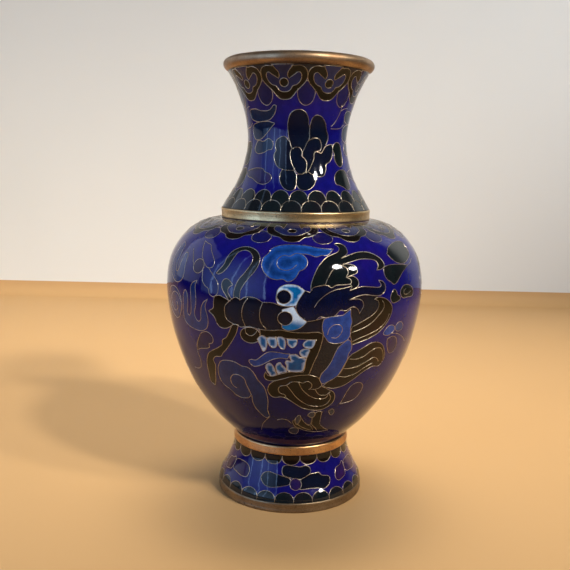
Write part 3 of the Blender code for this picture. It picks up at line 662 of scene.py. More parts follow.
def clouds(body):
    """Clouds and leaves that drift round the head, and the claws under it."""
    body.cell("cloud", TOP_CLOUD)
    body.line(TOP_CLOUD_CURL)
    body.cell("dusk", LOW_CLOUD)
    body.line(LOW_CLOUD_CURL)
    body.cell("dusk", COMB_CLOUD)
    body.cell("plum", [
        (-38, 64.3), (-35.7, 63.4), (-35.2, 62), (-36, 60.8), (-38, 60.3), (-38, 59.2), (-40, 58.5),
        (-44, 57.9), (-47, 57, S), (-46.5, 58.5), (-45, 60.5), (-43.5, 62), (-41.5, 63.6),
    ])
    body.cell("dusk", [
        (-54, 72), (-55, 69), (-57.5, 66.8), (-61, 66), (-65, 67.3), (-68, 70), (-68, 73.5), (-64.5, 76.3),
        (-59, 76.3), (-55.5, 74.7),
    ])
    body.line([
        (-54, 72), (-57, 74.4), (-61, 74.8), (-64.5, 73), (-64.5, 70), (-61, 68.4), (-58, 69.8),
        (-58.5, 71.8),
    ])
    body.cell("ground", [
        (-41, 86, S), (-38, 84.8), (-34.5, 82.7), (-32, 80.8), (-31.2, 78.8), (-31.7, 77), (-33.5, 76.1),
        (-35.5, 76.7), (-36.3, 78.4), (-38, 79), (-39.8, 80.5), (-40.4, 82.8),
    ])
    body.cell("ground", [
        (-43.3, 87.6, S), (-45.3, 90), (-47, 92.2, S), (-44, 91.6), (-41.5, 91.3), (-39.5, 89.8),
        (-36.8, 88), (-35.2, 86.4), (-35.5, 85), (-38, 84.6), (-41, 86, S),
    ])
    body.cell("plum", disc(-43.7, 84.7, 3.3, 2.2))
    body.line([(-52, 89.5), (-49.5, 87.3), (-47, 84.7)])
    body.line([(-55, 49.5), (-51, 49.8), (-48, 51), (-46.8, 53.5), (-47.2, 56.5)])
    body.cell("dusk", [
        (-53.5, 80), (-53.3, 84), (-54.5, 87.8), (-56.4, 87.9), (-57.6, 85), (-58.2, 82.6), (-60.4, 81.6),
        (-61.6, 84), (-61.2, 87), (-62.2, 90), (-65, 90.6), (-67.5, 87), (-67.5, 82.5), (-64, 79.4),
        (-58, 78.2),
    ])
    body.cell("bottle", [
        (45, 89.5, S), (48, 91.2), (53, 92.2), (59, 92.6), (65, 92), (65, 88.6), (60, 87), (55, 86.1),
        (50, 86.6), (47, 87.8),
    ])
    body.line([(55, 85.3), (60, 85.6), (65, 87)])
    body.cell("bottle", [
        (40.5, 86, S), (45, 86.3), (50, 86.1), (58, 85.4, S), (52, 83.5), (49, 82), (46.5, 80.6),
        (44.5, 80.3), (43, 81.2), (41, 82), (39.8, 83.5), (39.8, 85),
    ])
    body.cell("bottle", [
        (42.5, 76), (43.5, 78), (45, 78.8), (46.3, 78), (47, 76.8), (48.5, 76.3), (49, 75.3), (46.5, 74.6),
        (44, 74.5),
    ])
    body.cell("bottle", [
        (49, 77.3), (50.5, 79), (53, 79.5), (57, 79), (60, 77.5), (60, 75.5), (55, 75.3), (50.5, 75.6),
    ])
    body.line([(53.5, 78.3), (51.8, 77.6), (52, 76.6), (54.5, 76.4), (58, 77)])
    body.line([(46.5, 64.2), (50, 63.8), (55, 62.2), (60, 59.8)])
    body.cell("plum", [
        (44, 62.6), (47, 63.2), (50, 62.4), (52, 60), (51, 57.6), (48, 57.2), (45.7, 59), (44.3, 61),
    ])
    body.cell("royal", [
        (40.5, 64.7), (41.6, 66.3), (43.6, 67.2), (46, 67), (47.7, 65.9), (46.6, 64.6), (43.6, 63.9),
    ])
    body.cell("dusk", [
        (47.8, 66.3), (49.5, 67.6), (52, 67.4), (54, 66), (53.4, 64.9), (50.5, 64.5), (48.6, 65.1),
    ])
    body.cell("plum", [
        (26, 41, S), (27, 43.5), (28, 46), (29.5, 47.8), (32, 48.6), (34.5, 48.3), (36.5, 47), (36.5, 44.5),
        (34.5, 42.3), (30.5, 41.3),
    ])
    body.cell("olive", [
        (5, 37.3, S), (7.5, 34.6), (11.5, 32.6), (12.3, 35), (12, 37.2, S), (14.5, 38.6), (17, 38.5, S),
        (17.3, 35.5), (18.3, 33), (22, 31), (27, 29.5, S), (20, 29.3), (13, 29.8), (7, 31), (2.5, 32.5),
        (1.2, 34.5), (3, 36),
    ])
    body.line([(5, 37.3), (7, 35), (9.5, 33.4), (12.5, 32.4), (15, 30.4)])
    body.line([(3, 33.8), (6, 32.4), (9.5, 31.2), (13.5, 30.4)])
    body.line([(12.3, 35), (13, 33), (15.5, 31.6), (18, 30)])
    for tip in (
        [(9.3, 37.2), (10.6, 38.4), (12.8, 38.4), (13.4, 37.1), (12.4, 36.2), (10.8, 36.4)],
        [(3, 36.4), (4.8, 37.4), (5.6, 36), (5, 34.2), (3.5, 33.2), (2.4, 34.4)],
        [(-1.2, 30.6), (1, 31.6), (4.5, 31.4), (5.2, 30), (3.6, 28.6), (1, 28.9), (-0.8, 29.6)],
        [(20.8, 38.7), (22.8, 39.2), (24.4, 37.9), (23.4, 36.6), (21.8, 37.4)],
    ):
        body.cell("claw", tip)
    body.line([(-12.4, 36), (-14.5, 34.6), (-17, 33), (-19.2, 31), (-20.6, 29.4)])
    body.line([(-8, 35), (-5, 35.5), (-2, 35.1), (0.4, 33.6)])


# ---------------------------------------------------------------- borders and flowers

def scale_row(surface, colour, count, tip, roots, tips, depth):
    """Round scales side by side all the way round; depth is where their hidden ends lie."""
    pitch = 360 / count
    for k in range(count):
        middle = tip + k * pitch
        arc = [(middle - pitch / 2, depth, S), (middle - pitch / 2, roots, S)]
        for step in range(1, 8):
            turn = math.pi * step / 8
            arc.append((middle - pitch / 2 * math.cos(turn), roots + (tips - roots) * math.sin(turn)))
        arc += [(middle + pitch / 2, roots, S), (middle + pitch / 2, depth, S)]
        surface.cell(colour, arc)


def ruyi_row(surface, count, first, head, heart, drop, bead):
    """Cloud-collar heads all the way round: drops between, a dark head, its bright heart, a bead."""
    pitch = 360 / count
    for k in range(count):
        surface.cell("drop", disc(first + (k + 0.5) * pitch, *drop))
    for k in range(count):
        middle = first + k * pitch
        for colour, half in (("umber", head), ("heart", heart)):
            left = [(middle - a, z, *rest) for a, z, *rest in half[:0:-1]]
            right = [(middle + a, z, *rest) for a, z, *rest in half]
            surface.cell(colour, left + right)
        surface.cell("umber", disc(middle, *bead))


def neck_picture(neck):
    """A third of the neck, three times round: a lotus between leaves; then the borders."""
    for sector in (0, 120, 240):
        def at(points):
            return moved(points, across=sector)
        for leaf in (
            [(-60, 133.9), (-50, 134.4), (-40, 133.7), (-30, 133.9), (-24.5, 135.4), (-22, 135.2, S),
             (-23.5, 133.2), (-30, 131), (-36, 130.5), (-48, 130.3), (-59, 131.5)],
            [(-58, 129), (-45, 130.2), (-33, 130.3), (-25, 129.7, S), (-30, 128.3), (-37, 126.3),
             (-44, 124.8), (-54, 124.6), (-59, 126.5)],
            [(-50, 124.1), (-40, 124), (-34, 124.9), (-29.5, 124.3), (-27.3, 122.8), (-28.5, 121.4),
             (-33, 121.2), (-38, 120.4), (-48, 120), (-54, 121.5)],
        ):
            neck.cell("leaf", at(leaf))
        neck.cell("plum", at([
            (-58, 114), (-50, 115), (-43, 115.3), (-36, 115.1), (-33, 114.2), (-27, 113.5), (-24, 112.2),
            (-26, 110.8), (-31, 110.1), (-38, 110.5), (-46, 111.8), (-55, 112.6),
        ]))
        neck.cell("bottle", at([
            (43, 121.8), (45, 123.4), (50, 124.1), (56, 123.5), (58.5, 120), (56, 116.8), (50, 116.2),
            (45.5, 117.5), (43.8, 119.3), (44.6, 120.4, S),
        ]))
        neck.cell("bottle", at([
            (39, 111.5), (40.5, 113.3), (45, 114.6), (52, 115.2), (58, 114.9), (60.5, 112.5), (58, 109.4),
            (52, 108.6), (48, 109.5), (43, 110.2), (40, 110.4),
        ]))
        neck.line(at([(50, 135.9), (49.5, 134), (47, 132), (43.5, 130.3), (39.5, 129.1)]))
        neck.line(at([(39.5, 128.4), (48, 128.5), (56, 128.9), (61, 130)]))
        neck.line(at([(49.6, 134.2), (55, 135), (61, 135.3)]))
        # lotus petals, the hindmost first
        for petal in (
            [(-3, 115, S), (-14, 115.2, S), (-16.3, 113), (-14.5, 110.8), (-10, 108.9), (-5, 108.3),
             (-1, 109), (0, 110.5, S), (0.3, 113.2, S)],
            [(0, 113.4, S), (0, 110.3, S), (3, 108.9), (8, 108.5), (13, 109.2), (17, 110.6), (19, 113),
             (12, 115, S), (5, 113.8)],
            [(-10, 124.5, S), (-14, 125.6), (-19, 125.3), (-23.5, 124.2), (-24.3, 122.5), (-23.2, 121),
             (-25, 119.8), (-24, 118), (-20, 116), (-15, 115.1), (-8, 114.8), (-3, 114.8, S), (0, 117),
             (-4, 122)],
            [(-6, 122, S), (-9, 124.8), (-10.3, 127.5), (-10.3, 130), (-7.5, 132.7), (-3, 133.8), (3, 134),
             (8, 133.2), (11.3, 131.4), (12, 129.5, S), (13.5, 128.4), (13.8, 126), (12.2, 124),
             (6, 120.5, S)],
            [(13.3, 129, S), (15.5, 131.4), (19, 132.4), (24, 132.3), (28.5, 131.3), (32, 129.6),
             (33.5, 128), (36, 126.5), (36.3, 124.8), (33, 123), (27, 120.3, S), (14, 122, S)],
            [(11, 114.5, S), (16, 113.4), (22, 112.8), (27, 113.2), (30.5, 115), (32, 116.8), (37, 117.8),
             (41, 119.5), (43, 122), (42.5, 123.4, S), (38, 123.3), (33, 122.6), (27, 120.4, S),
             (20, 120.8), (16, 118)],
            [(6, 120.6, S), (9, 122.5), (12, 124.2), (17, 125.1), (22, 125.3), (26, 124.6), (27.8, 123),
             (26, 121.3), (22, 121), (19, 120.5), (18, 118.5), (15.5, 116.8), (12.5, 115), (9.3, 113.9, S),
             (9, 116), (6, 119)],
            [(-6.8, 121), (-7.3, 119.3), (-5.5, 117.5), (-2.5, 115.3), (1, 113.9), (5, 113.6), (8.5, 114.2),
             (10, 115.8), (9.8, 117.8), (7.5, 118.8), (5, 119.5), (5.4, 120.8), (3, 122), (-1.5, 122.2),
             (-5, 121.8)],
        ):
            neck.cell("petal", at(petal))
    neck.cell("smoke", [(-185, 143.4, S), (185, 143.4, S), (185, 147.4, S), (-185, 147.4, S)], wire=False)
    ruyi_row(
        neck, 9, -12.5,
        [(0, 137), (5, 137.3), (8.5, 138.4), (10.6, 139.4), (14, 140.6), (17.8, 142), (19.8, 143.4),
         (19.6, 145), (17.5, 146.4), (13.5, 147), (9.5, 146.9, S)],
        [(0, 139.3), (3.5, 139.5), (6, 140.2), (7.5, 141.1), (10.5, 141.4), (13.5, 142.3), (15, 143.6),
         (14.7, 144.7), (12.5, 145.2), (9.5, 144.5), (7, 143.9), (4.5, 143.3, S), (3.6, 144), (3.9, 145),
         (6, 146.1), (8.5, 147.3, S)],
        (139, 8.2, 3.7), (142.1, 3.8, 1.3),
    )
    scale_row(neck, "scale", 24, 2.2, 105.6, 108.5, depth=101.8)
    scale_row(neck, "scale", 24, -3.4, 102.7, 105.3, depth=101.8)


def foot_picture(foot):
    """A third of the foot, three times round: a flower between leaves; then the scalloped borders."""
    for sector in (0, 120, 240):
        def at(points):
            return moved(points, across=sector)
        foot.cell("plum", at([
            (-60, 12.8), (-50, 13.5), (-42, 13), (-38.8, 11.5), (-39.5, 9.5), (-43, 9), (-52, 9.3),
            (-60.5, 10),
        ]))
        foot.cell("plum", at([
            (58, 13.4), (53, 12.6), (47, 12.2), (44.5, 10.8), (43.5, 9.3), (46, 8.3), (51, 8.5), (57, 9.2),
            (59, 11),
        ]))
        for petal in (
            [(-7, 13.3), (-6, 14.7), (-2, 15.1), (4, 14.9), (10, 14.6), (14, 14.9), (18, 14.5),
             (19.4, 13.2), (18, 12.1), (14, 11.4), (10, 10.8, S), (5, 10.9), (2, 11.1, S), (-2, 11.5),
             (-6, 12)],
            [(10, 10.8, S), (14, 11.4), (18, 12.1), (23, 12.3), (27, 12.2), (29.5, 11.3), (33, 11),
             (36.5, 10.5), (37.2, 9.4), (35, 8.2), (30, 7.3), (25, 7.6), (18, 7.9), (8, 7.9), (9, 9.5)],
            [(0, 9.3), (-5, 8.7), (-10, 8.3), (-17, 8), (-22, 8.7), (-25.5, 10.3), (-24, 11.8), (-19, 12.6),
             (-13, 12.2), (-8, 11.8), (-2, 11.3), (1, 10.7)],
        ):
            foot.cell("petal", at(petal))
        foot.cell("plum", at(disc(5.2, 9.3, 5, 1.75)))
    scale_row(foot, "umber", 21, 1, 17.5, 15.2, depth=18.2)
    scale_row(foot, "scale", 25, -3.7, 4.6, 6.9, depth=3.7)


def shoulder_border(body):
    """The ruyi border under the neck's collar."""
    ruyi_row(
        body, 12, -1.5,
        [(0, 93.45), (3.5, 93.8), (6, 94.7), (9.5, 95.1), (12.4, 95.8), (13.9, 96.6), (14.6, 97.4),
         (14.4, 98.2, S)],
        [(0, 95.15), (4, 95.35), (6.6, 95.9), (9, 96.4), (10.4, 97.1), (9.4, 97.7), (7, 97.5), (5, 97, S),
         (4.3, 97.6), (4, 98.2, S)],
        (94.6, 5, 1.6), (96.45, 2.4, 0.45),
    )


# ---------------------------------------------------------------- the back of the body

def ribbon(route, widths, steps=8):
    """A band along a route of (azimuth, height) points, its half-widths in mm, steps points to a span.

    It gives a function: the band's lengthwise line at a share of its half-width from the middle.
    """
    middle = catmull([(a * DEGREE, z) for a, z in route], steps)
    width = np.interp(np.linspace(0, 1, len(middle)), np.linspace(0, 1, len(widths)), widths)
    along = np.gradient(middle, axis=0)
    along /= np.linalg.norm(along, axis=1)[:, None]
    side = np.column_stack([-along[:, 1], along[:, 0]]) * width[:, None]

    def points(share):
        line = middle + side * share
        return [(float(u) / DEGREE, float(v)) for u, v in line]
    return points


COIL = [
    (76, 80), (88, 82), (100, 75), (109, 61), (124, 49), (143, 50), (155, 64), (168, 78), (188, 83),
    (206, 76), (215, 62), (226, 49), (243, 44), (258, 50),
]
COIL_WIDTHS = [5.5, 5.5, 5.5, 5.2, 5.0, 4.8, 4.4, 4.0, 3.4, 2.6, 1.0]
SCALE_ROW = 0.45        # width of a row of scales, as a share of the body's half-width
CLAWS = [(104, 62, False), (206, 70, True)]   # azimuth, height, mirrored
BACK_CLOUDS = [
    # outline, curl, slid across, slid up, mirrored, colour
    (TOP_CLOUD, TOP_CLOUD_CURL, 88, -33, False, "cloud"),
    (TOP_CLOUD, TOP_CLOUD_CURL, 131, -7, True, "cloud"),
    (TOP_CLOUD, TOP_CLOUD_CURL, 181, -39, False, "cloud"),
    (TOP_CLOUD, TOP_CLOUD_CURL, 234, -8, False, "cloud"),
    (TOP_CLOUD, TOP_CLOUD_CURL, 268, -26, True, "cloud"),
    (LOW_CLOUD, LOW_CLOUD_CURL, -58, -8, True, "dusk"),
]
NEAR_CLOUD = (TOP_CLOUD, TOP_CLOUD_CURL, 85, -9, False, "dusk")


def dragon_body(body):
    """The scaled body behind the head: fins along the back, a plated belly, rows of scales."""
    side = ribbon(COIL, COIL_WIDTHS)
    back, belly, edge = side(1.0), side(-0.45), side(-1.0)
    tall = side(1.65)
    for i in range(4, len(back) - 14, 4):
        body.cell("umber", [back[i], (*tall[i + 4], S), back[i + 4], side(0.6)[i + 2]])
    body.cell("bottle", [(*back[0], S), *back[1:-1:2], (*back[-1], S), *edge[-2:0:-2], (*edge[0], S)])
    body.cell("dusk", [(*belly[0], S), *belly[1:-1:2], (*belly[-1], S), *edge[-2:0:-2], (*edge[0], S)])
    for i in range(2, len(belly) - 4, 3):
        body.line([belly[i], side(-0.75)[i - 1], edge[i]])
    for row in range(3):
        near, tips, far = (side(share - SCALE_ROW * row) for share in (0.9, 0.68, 0.45))
        for i in range(4 + 2 * (row % 2), len(back) - 18, 4):
            tip = tips[i - 3]
            body.line([near[i], ((near[i][0] + tip[0]) / 2, (near[i][1] + tip[1]) / 2), tip, far[i]])


def claw(body, azimuth, height, flip):
    """A foreleg with four hooked claws reaching down."""
    def at(points):
        return moved(points, across=azimuth, up=height, flip=flip)
    for turn in (-38, -12, 14, 40):
        hook = [(-1.6, 0), (-2, -4), (-1.2, -7), (1.4, -9.6, S), (1.3, -6), (1.6, -3), (1.8, 0)]
        body.cell("umber", at(moved(hook, turn=turn, up=-13, across=-5)))
    body.cell("bottle", at([
        (-2, 3), (3, 2), (4, -3), (1, -8), (-1, -12), (-3, -15), (-7.5, -15.2), (-9.5, -12.5), (-7, -9),
        (-6, -5), (-5.5, 0),
    ]))
    body.line(at([(-5.8, -3), (-2.5, -4.5), (3.6, -4)]))
    body.line(at([(-6.6, -8), (-3.5, -9), (0.6, -8.6)]))


def pearl(body, azimuth, height):
    """The flaming pearl that the dragon chases."""
    flames = [
        (-7, -1), (-8, 4), (-12, 8, S), (-4, 6), (-1, 11, S), (2, 6), (9, 9, S), (7, 3), (6.5, -2),
        (0, -5.5),
    ]
    body.cell("tooth", moved(flames, azimuth, height))
    body.cell("umber", disc(azimuth, height, 5.2, 3.9))
    body.line(disc(azimuth, height, 2.6, 2, 7))


def drifting_cloud(body, outline, curl, across, up, flip, colour):
    """One of the front's clouds again, moved and perhaps mirrored."""
    middle = tuple(np.mean([p[:2] for p in outline], axis=0))
    body.cell(colour, moved(outline, across, up, flip, about=middle))
    body.line(moved(curl, across, up, flip, about=middle))


def back_picture(body):
    """All that goes round the back, with one cloud in front of the dragon's body."""
    for cloud in BACK_CLOUDS:
        drifting_cloud(body, *cloud)
    for azimuth, height, flip in CLAWS:
        claw(body, azimuth, height, flip)
    dragon_body(body)
    drifting_cloud(body, *NEAR_CLOUD)
    pearl(body, 262, 82)


# ---------------------------------------------------------------- materials

class Graph:
    """A node material being built."""

    def __init__(self, name):
        self.material = bpy.data.materials.new(name)
        self.material.use_nodes = True
        self.nodes = self.material.node_tree.nodes
        self.links = self.material.node_tree.links
        self.shader = self.nodes["Principled BSDF"]

    def put(self, socket, value):
        """Links a node's output to a socket, or sets the socket to a number or a colour."""
        if isinstance(value, bpy.types.NodeSocket):
            self.links.new(value, socket)
        else:
            socket.default_value = (*value, 1) if socket.type == "RGBA" else value

    def add(self, kind, settings=None, **inputs):
        node = self.nodes.new(kind)
        for key, value in (settings or {}).items():
            setattr(node, key, value)
        for key, value in inputs.items():
            self.put(node.inputs[key.replace("_", " ")], value)
        return node

    def mix(self, share, a, b, mode="MIX"):
        node = self.add("ShaderNodeMix", {"data_type": "RGBA", "blend_type": mode})
        for index, value in ((0, share), (6, a), (7, b)):
            self.put(node.inputs[index], value)
        return node.outputs[2]

    def tint(self, colour, by):
        return self.mix(1.0, colour, by, "MULTIPLY")

    def ramp(self, value, low, high):
        """0 at low, 1 at high and a straight rise between."""
        node = self.add("ShaderNodeMapRange", {"clamp": True}, Value=value, From_Min=low, From_Max=high)
        return node.outputs["Result"]

    def maths(self, kind, a, b):
        node = self.add("ShaderNodeMath", {"operation": kind})
        self.put(node.inputs[0], a)
        self.put(node.inputs[1], b)
        return node.outputs[0]

    def opposite(self, value):
        return self.maths("SUBTRACT", 1.0, value)

    def place(self, stretch=None):
        """The object's own coordinates, multiplied by stretch."""
        coords = self.add("ShaderNodeTexCoord").outputs["Object"]
        if stretch is None:
            return coords
        return self.add("ShaderNodeMapping", None, Vector=coords, Scale=stretch).outputs["Vector"]

    def noise(self, scale, detail=3.0, rough=0.5, stretch=None):
        place = self.place(stretch)
        node = self.add(
            "ShaderNodeTexNoise", None, Vector=place, Scale=scale, Detail=detail, Roughness=rough
        )
        return node.outputs["Fac"]

    def pits(self, scale, radius, rarity):
        """1 in the few small round pits of a surface, 0 elsewhere."""
        cells = self.add("ShaderNodeTexVoronoi", None, Vector=self.place(), Scale=scale)
        near = self.ramp(cells.outputs["Distance"], radius, 0.4 * radius)
        pick = self.add("ShaderNodeSeparateColor", None, Color=cells.outputs["Color"]).outputs["Red"]
        return self.maths("MULTIPLY", near, self.maths("GREATER_THAN", pick, rarity))

    def bump(self, height, distance, strength=1.0, under=None):
        node = self.add("ShaderNodeBump", None, Height=height, Distance=distance, Strength=strength)
        if under is not None:
            self.put(node.inputs["Normal"], under)
        return node.outputs["Normal"]

    def finish(self, colour, roughness, normal=None, **constants):
        """The material, with its shader fed; the constants go straight on the shader."""
        self.put(self.shader.inputs["Base Color"], colour)
        self.put(self.shader.inputs["Roughness"], roughness)
        if normal is not None:
            self.put(self.shader.inputs["Normal"], normal)
        for key, value in constants.items():
            self.shader.inputs[key.replace("_", " ")].default_value = value
        return self.material


def glass_material():
    """Fired enamel: mottled cell colours with a fine grain, slow waves from grinding, a few open pits."""
    g = Graph("picture_enamel")
    cells = g.add("ShaderNodeVertexColor", {"layer_name": "glass_colour"}).outputs["Color"]
    grain = g.ramp(g.noise(1900, 4.0, 0.7), 0.35, 0.75)
    streaks = g.ramp(g.noise(420, 5.0, 0.65, (1.0, 1.0, 0.55)), 0.36, 0.66)
    # light is 1 in blue and white cells, pale in the blue ones only, violet in patches of the others
    green = g.add("ShaderNodeSeparateColor", None, Color=cells).outputs["Green"]
    light = g.ramp(green, 0.010, 0.030)
    pale = g.maths("MULTIPLY", light, g.opposite(g.ramp(green, 0.10, 0.25)))
    violet = g.maths("MULTIPLY", g.ramp(g.noise(75, 3.0, 0.55), 0.46, 0.66), g.opposite(light))
    mottle = g.ramp(g.noise(620, 5.0, 0.7), 0.30, 0.70)
    colour = g.mix(grain, g.tint(cells, (0.70, 0.72, 0.80)), cells)
    colour = g.mix(streaks, g.tint(colour, (0.66, 0.66, 0.76)), colour)
    colour = g.mix(violet, colour, g.tint(colour, (1.9, 0.9, 0.95)))
    clouded = g.mix(mottle, g.tint(colour, (0.45, 0.55, 0.60)), g.tint(colour, (1.20, 1.22, 1.20)))
    colour = g.mix(g.maths("MULTIPLY", pale, 0.75), colour, clouded)
    pits = g.pits(420, 0.09, 0.86)
    colour = g.mix(g.maths("MULTIPLY", pits, 0.75), colour, (0.006, 0.006, 0.012))
    roughness = g.maths("ADD", g.maths("MULTIPLY", g.noise(500), 0.05), 0.030)
    roughness = g.maths("ADD", roughness, g.maths("MULTIPLY", pits, 0.3))
    waves = g.bump(g.noise(150, 1.0), 0.00025, 0.35)
    peel = g.bump(g.noise(900, 2.0), 0.00003, 0.35, under=waves)
    normal = g.bump(g.opposite(pits), 0.0001, 0.6, under=peel)
    return g.finish(colour, roughness, normal, IOR=1.39)


def metal_material(name, bright, dull, dark, dark_from, roughness, turning):
    """Turned metal: worn bright and duller tarnish in patches, dark spots, fine lathe lines."""
    g = Graph(name)
    patch = g.ramp(g.noise(170, 4.0, 0.6), 0.38, 0.66)
    spots = g.ramp(g.noise(650, 5.0, 0.65), dark_from, dark_from + 0.12)
    colour = g.mix(patch, bright, dull)
    colour = g.mix(g.ramp(g.noise(2600, 3.0, 0.7), 0.55, 0.8), colour, dark)
    colour = g.mix(spots, colour, dark)
    rough = g.maths("ADD", g.maths("MULTIPLY", patch, 0.14), roughness)
    rough = g.maths("ADD", rough, g.maths("MULTIPLY", spots, 0.2))
    normal = g.bump(g.noise(300, 2.0, 0.5, (1.0, 1.0, 14.0)), 0.00004, 0.5 * turning)
    normal = g.bump(g.noise(1500, 3.0), 0.00002, 0.5, under=normal)
    return g.finish(colour, rough, normal, Metallic=1.0)


def wire_material():
    """Brass wire, ground and a little tarnished."""
    g = Graph("cloison_brass")
    colour = g.mix(g.ramp(g.noise(700, 3.0), 0.4, 0.7), (0.46, 0.385, 0.285), (0.31, 0.25, 0.175))
    roughness = g.maths("ADD", g.maths("MULTIPLY", g.noise(900), 0.2), 0.2)
    return g.finish(colour, roughness, Metallic=1.0)


def counter_enamel_material():
    """Plain glass fired on the copper's hidden sides, uneven and pitted."""
    g = Graph("counter_enamel")
    colour = g.mix(g.ramp(g.noise(240, 4.0, 0.6), 0.35, 0.7), (0.020, 0.085, 0.25), (0.045, 0.16, 0.36))
    colour = g.mix(g.pits(300, 0.1, 0.8), colour, (0.008, 0.015, 0.04))
    normal = g.bump(g.noise(420, 3.0), 0.00012, 0.6)
    return g.finish(colour, 0.16, normal, IOR=1.55)


def plain_material(name, colour, roughness):
    """A plain backdrop colour that varies very slightly."""
    g = Graph(name)
    soft = g.mix(g.ramp(g.noise(6, 2.0), 0.3, 0.7), colour, tuple(0.97 * c for c in colour))
    return g.finish(soft, roughness, Specular_IOR_Level=0.2)


# ---------------------------------------------------------------- turned pieces

def turned(name, profile, material):
    """A closed (radius, height) profile, given down its outer side first, turned about the Z axis.

    Profiles that start and end on the axis make discs.
    """
    on_axis = profile[0][0] == 0.0
    rings = profile[1:-1] if on_axis else profile
    angles = np.linspace(0, math.tau, TURN_STEPS, endpoint=False)
    verts = [(r * MM * math.cos(a), r * MM * math.sin(a), z * MM) for r, z in rings for a in angles]
    faces = []
    around = [(i, (i + 1) % TURN_STEPS) for i in range(TURN_STEPS)]
    base = (len(rings) - 1) * TURN_STEPS
    for upper in range(0, base if on_axis else base + 1, TURN_STEPS):
        lower = (upper + TURN_STEPS) % len(verts)
        faces += [(upper + i, lower + i, lower + k, upper + k) for i, k in around]
    if on_axis:
        top, bottom = len(verts), len(verts) + 1
        verts += [(0.0, 0.0, profile[0][1] * MM), (0.0, 0.0, profile[-1][1] * MM)]
        for i, k in around:
            faces += [(top, i, k), (bottom, base + k, base + i)]
    made = add_piece(name, verts, faces, material)
    made.data.set_sharp_from_angle(angle=math.radians(SHARP_EDGE))
    return made


def rounded(corners, steps=6):
    """A smooth line through a ring's outer (radius, height) points."""
    return [tuple(p) for p in catmull(corners, steps)]


def lining_profile(surface):
    """The counter-enamel's closed profile, from its two depths under the glazed surface."""
    profile = []
    for depth, order in ((LINING_OUT, -1), (LINING_IN, 1)):
        r = surface.radius_at - depth * surface.normal_r
        z = surface.height_at - depth * surface.normal_z
        keep = (z > surface.height_at[0]) & (z < surface.height_at[-1] - LINING_SHORT)
        side = list(zip(r[keep][::KNOT_STEPS // 2], z[keep][::KNOT_STEPS // 2]))
        profile += side[::order]
    return profile


# ---------------------------------------------------------------- assembly

PALETTE = {
    # colour: rim, heart (linear), and how far in from the wires the heart is reached, in mm
    "ground": ((0.0065, 0.0056, 0.125), (0.0050, 0.0046, 0.150), 2.2),
    "cloud": ((0.018, 0.105, 0.42), (0.005, 0.042, 0.175), 1.6),
    "royal": ((0.030, 0.085, 0.36), (0.020, 0.065, 0.29), 1.4),
    "dusk": ((0.022, 0.056, 0.205), (0.012, 0.042, 0.185), 1.6),
    "plum": ((0.022, 0.012, 0.060), (0.018, 0.010, 0.085), 1.6),
    "navy": ((0.0045, 0.0060, 0.022), (0.0030, 0.0055, 0.030), 1.6),
    "night": ((0.0050, 0.0055, 0.012), (0.0040, 0.0070, 0.022), 1.6),
    "bottle": ((0.0080, 0.0110, 0.0105), (0.0045, 0.0095, 0.0100), 1.0),
    "umber": ((0.0074, 0.0045, 0.0017), (0.0048, 0.0030, 0.0014), 0.9),
    "olive": ((0.0090, 0.0066, 0.0034), (0.0110, 0.0075, 0.0028), 1.2),
    "smoke": ((0.0150, 0.0140, 0.0170), (0.0180, 0.0170, 0.0190), 1.2),
    "eye": ((0.78, 0.93, 0.98), (0.004, 0.165, 0.40), 0.55),
    "tooth": ((0.74, 0.86, 0.92), (0.004, 0.115, 0.30), 0.38),
    "claw": ((0.120, 0.140, 0.160), (0.080, 0.100, 0.125), 0.6),
    "mouth": ((0.006, 0.015, 0.13), (0.004, 0.020, 0.20), 1.2),
    "petal": ((0.0042, 0.0070, 0.0150), (0.0030, 0.0070, 0.0210), 1.8),
    "leaf": ((0.0120, 0.0300, 0.0720), (0.0095, 0.0270, 0.0680), 1.2),
    "scale": ((0.0100, 0.0150, 0.0160), (0.0065, 0.0120, 0.0135), 1.4),
    "heart": ((0.020, 0.024, 0.078), (0.012, 0.016, 0.062), 1.2),
    "drop": ((0.0060, 0.0070, 0.0600), (0.0045, 0.0060, 0.0750), 1.6),
}
METALS = {
    # bright, dull and dark colours, the noise that dark spots start at, roughness, strength of lathe lines
    "lip_copper": ((0.40, 0.27, 0.16), (0.28, 0.17, 0.09), (0.09, 0.055, 0.03), 0.64, 0.40, 0.6),
    "satin_brass": ((0.70, 0.50, 0.25), (0.48, 0.33, 0.16), (0.12, 0.08, 0.05), 0.60, 0.33, 0.5),
    "collar_copper": ((0.66, 0.40, 0.18), (0.44, 0.23, 0.10), (0.09, 0.05, 0.03), 0.62, 0.30, 1.0),
    "rim_bronze": ((0.30, 0.225, 0.14), (0.22, 0.15, 0.085), (0.055, 0.04, 0.03), 0.60, 0.38, 1.0),
    "sheet_copper": ((0.62, 0.28, 0.16), (0.40, 0.17, 0.09), (0.08, 0.05, 0.04), 0.66, 0.34, 1.0),
}
WIRE_NODES = {"neck": ("neck",), "body": ("shoulder", "dragon", "cloud"), "foot": ("foot",)}
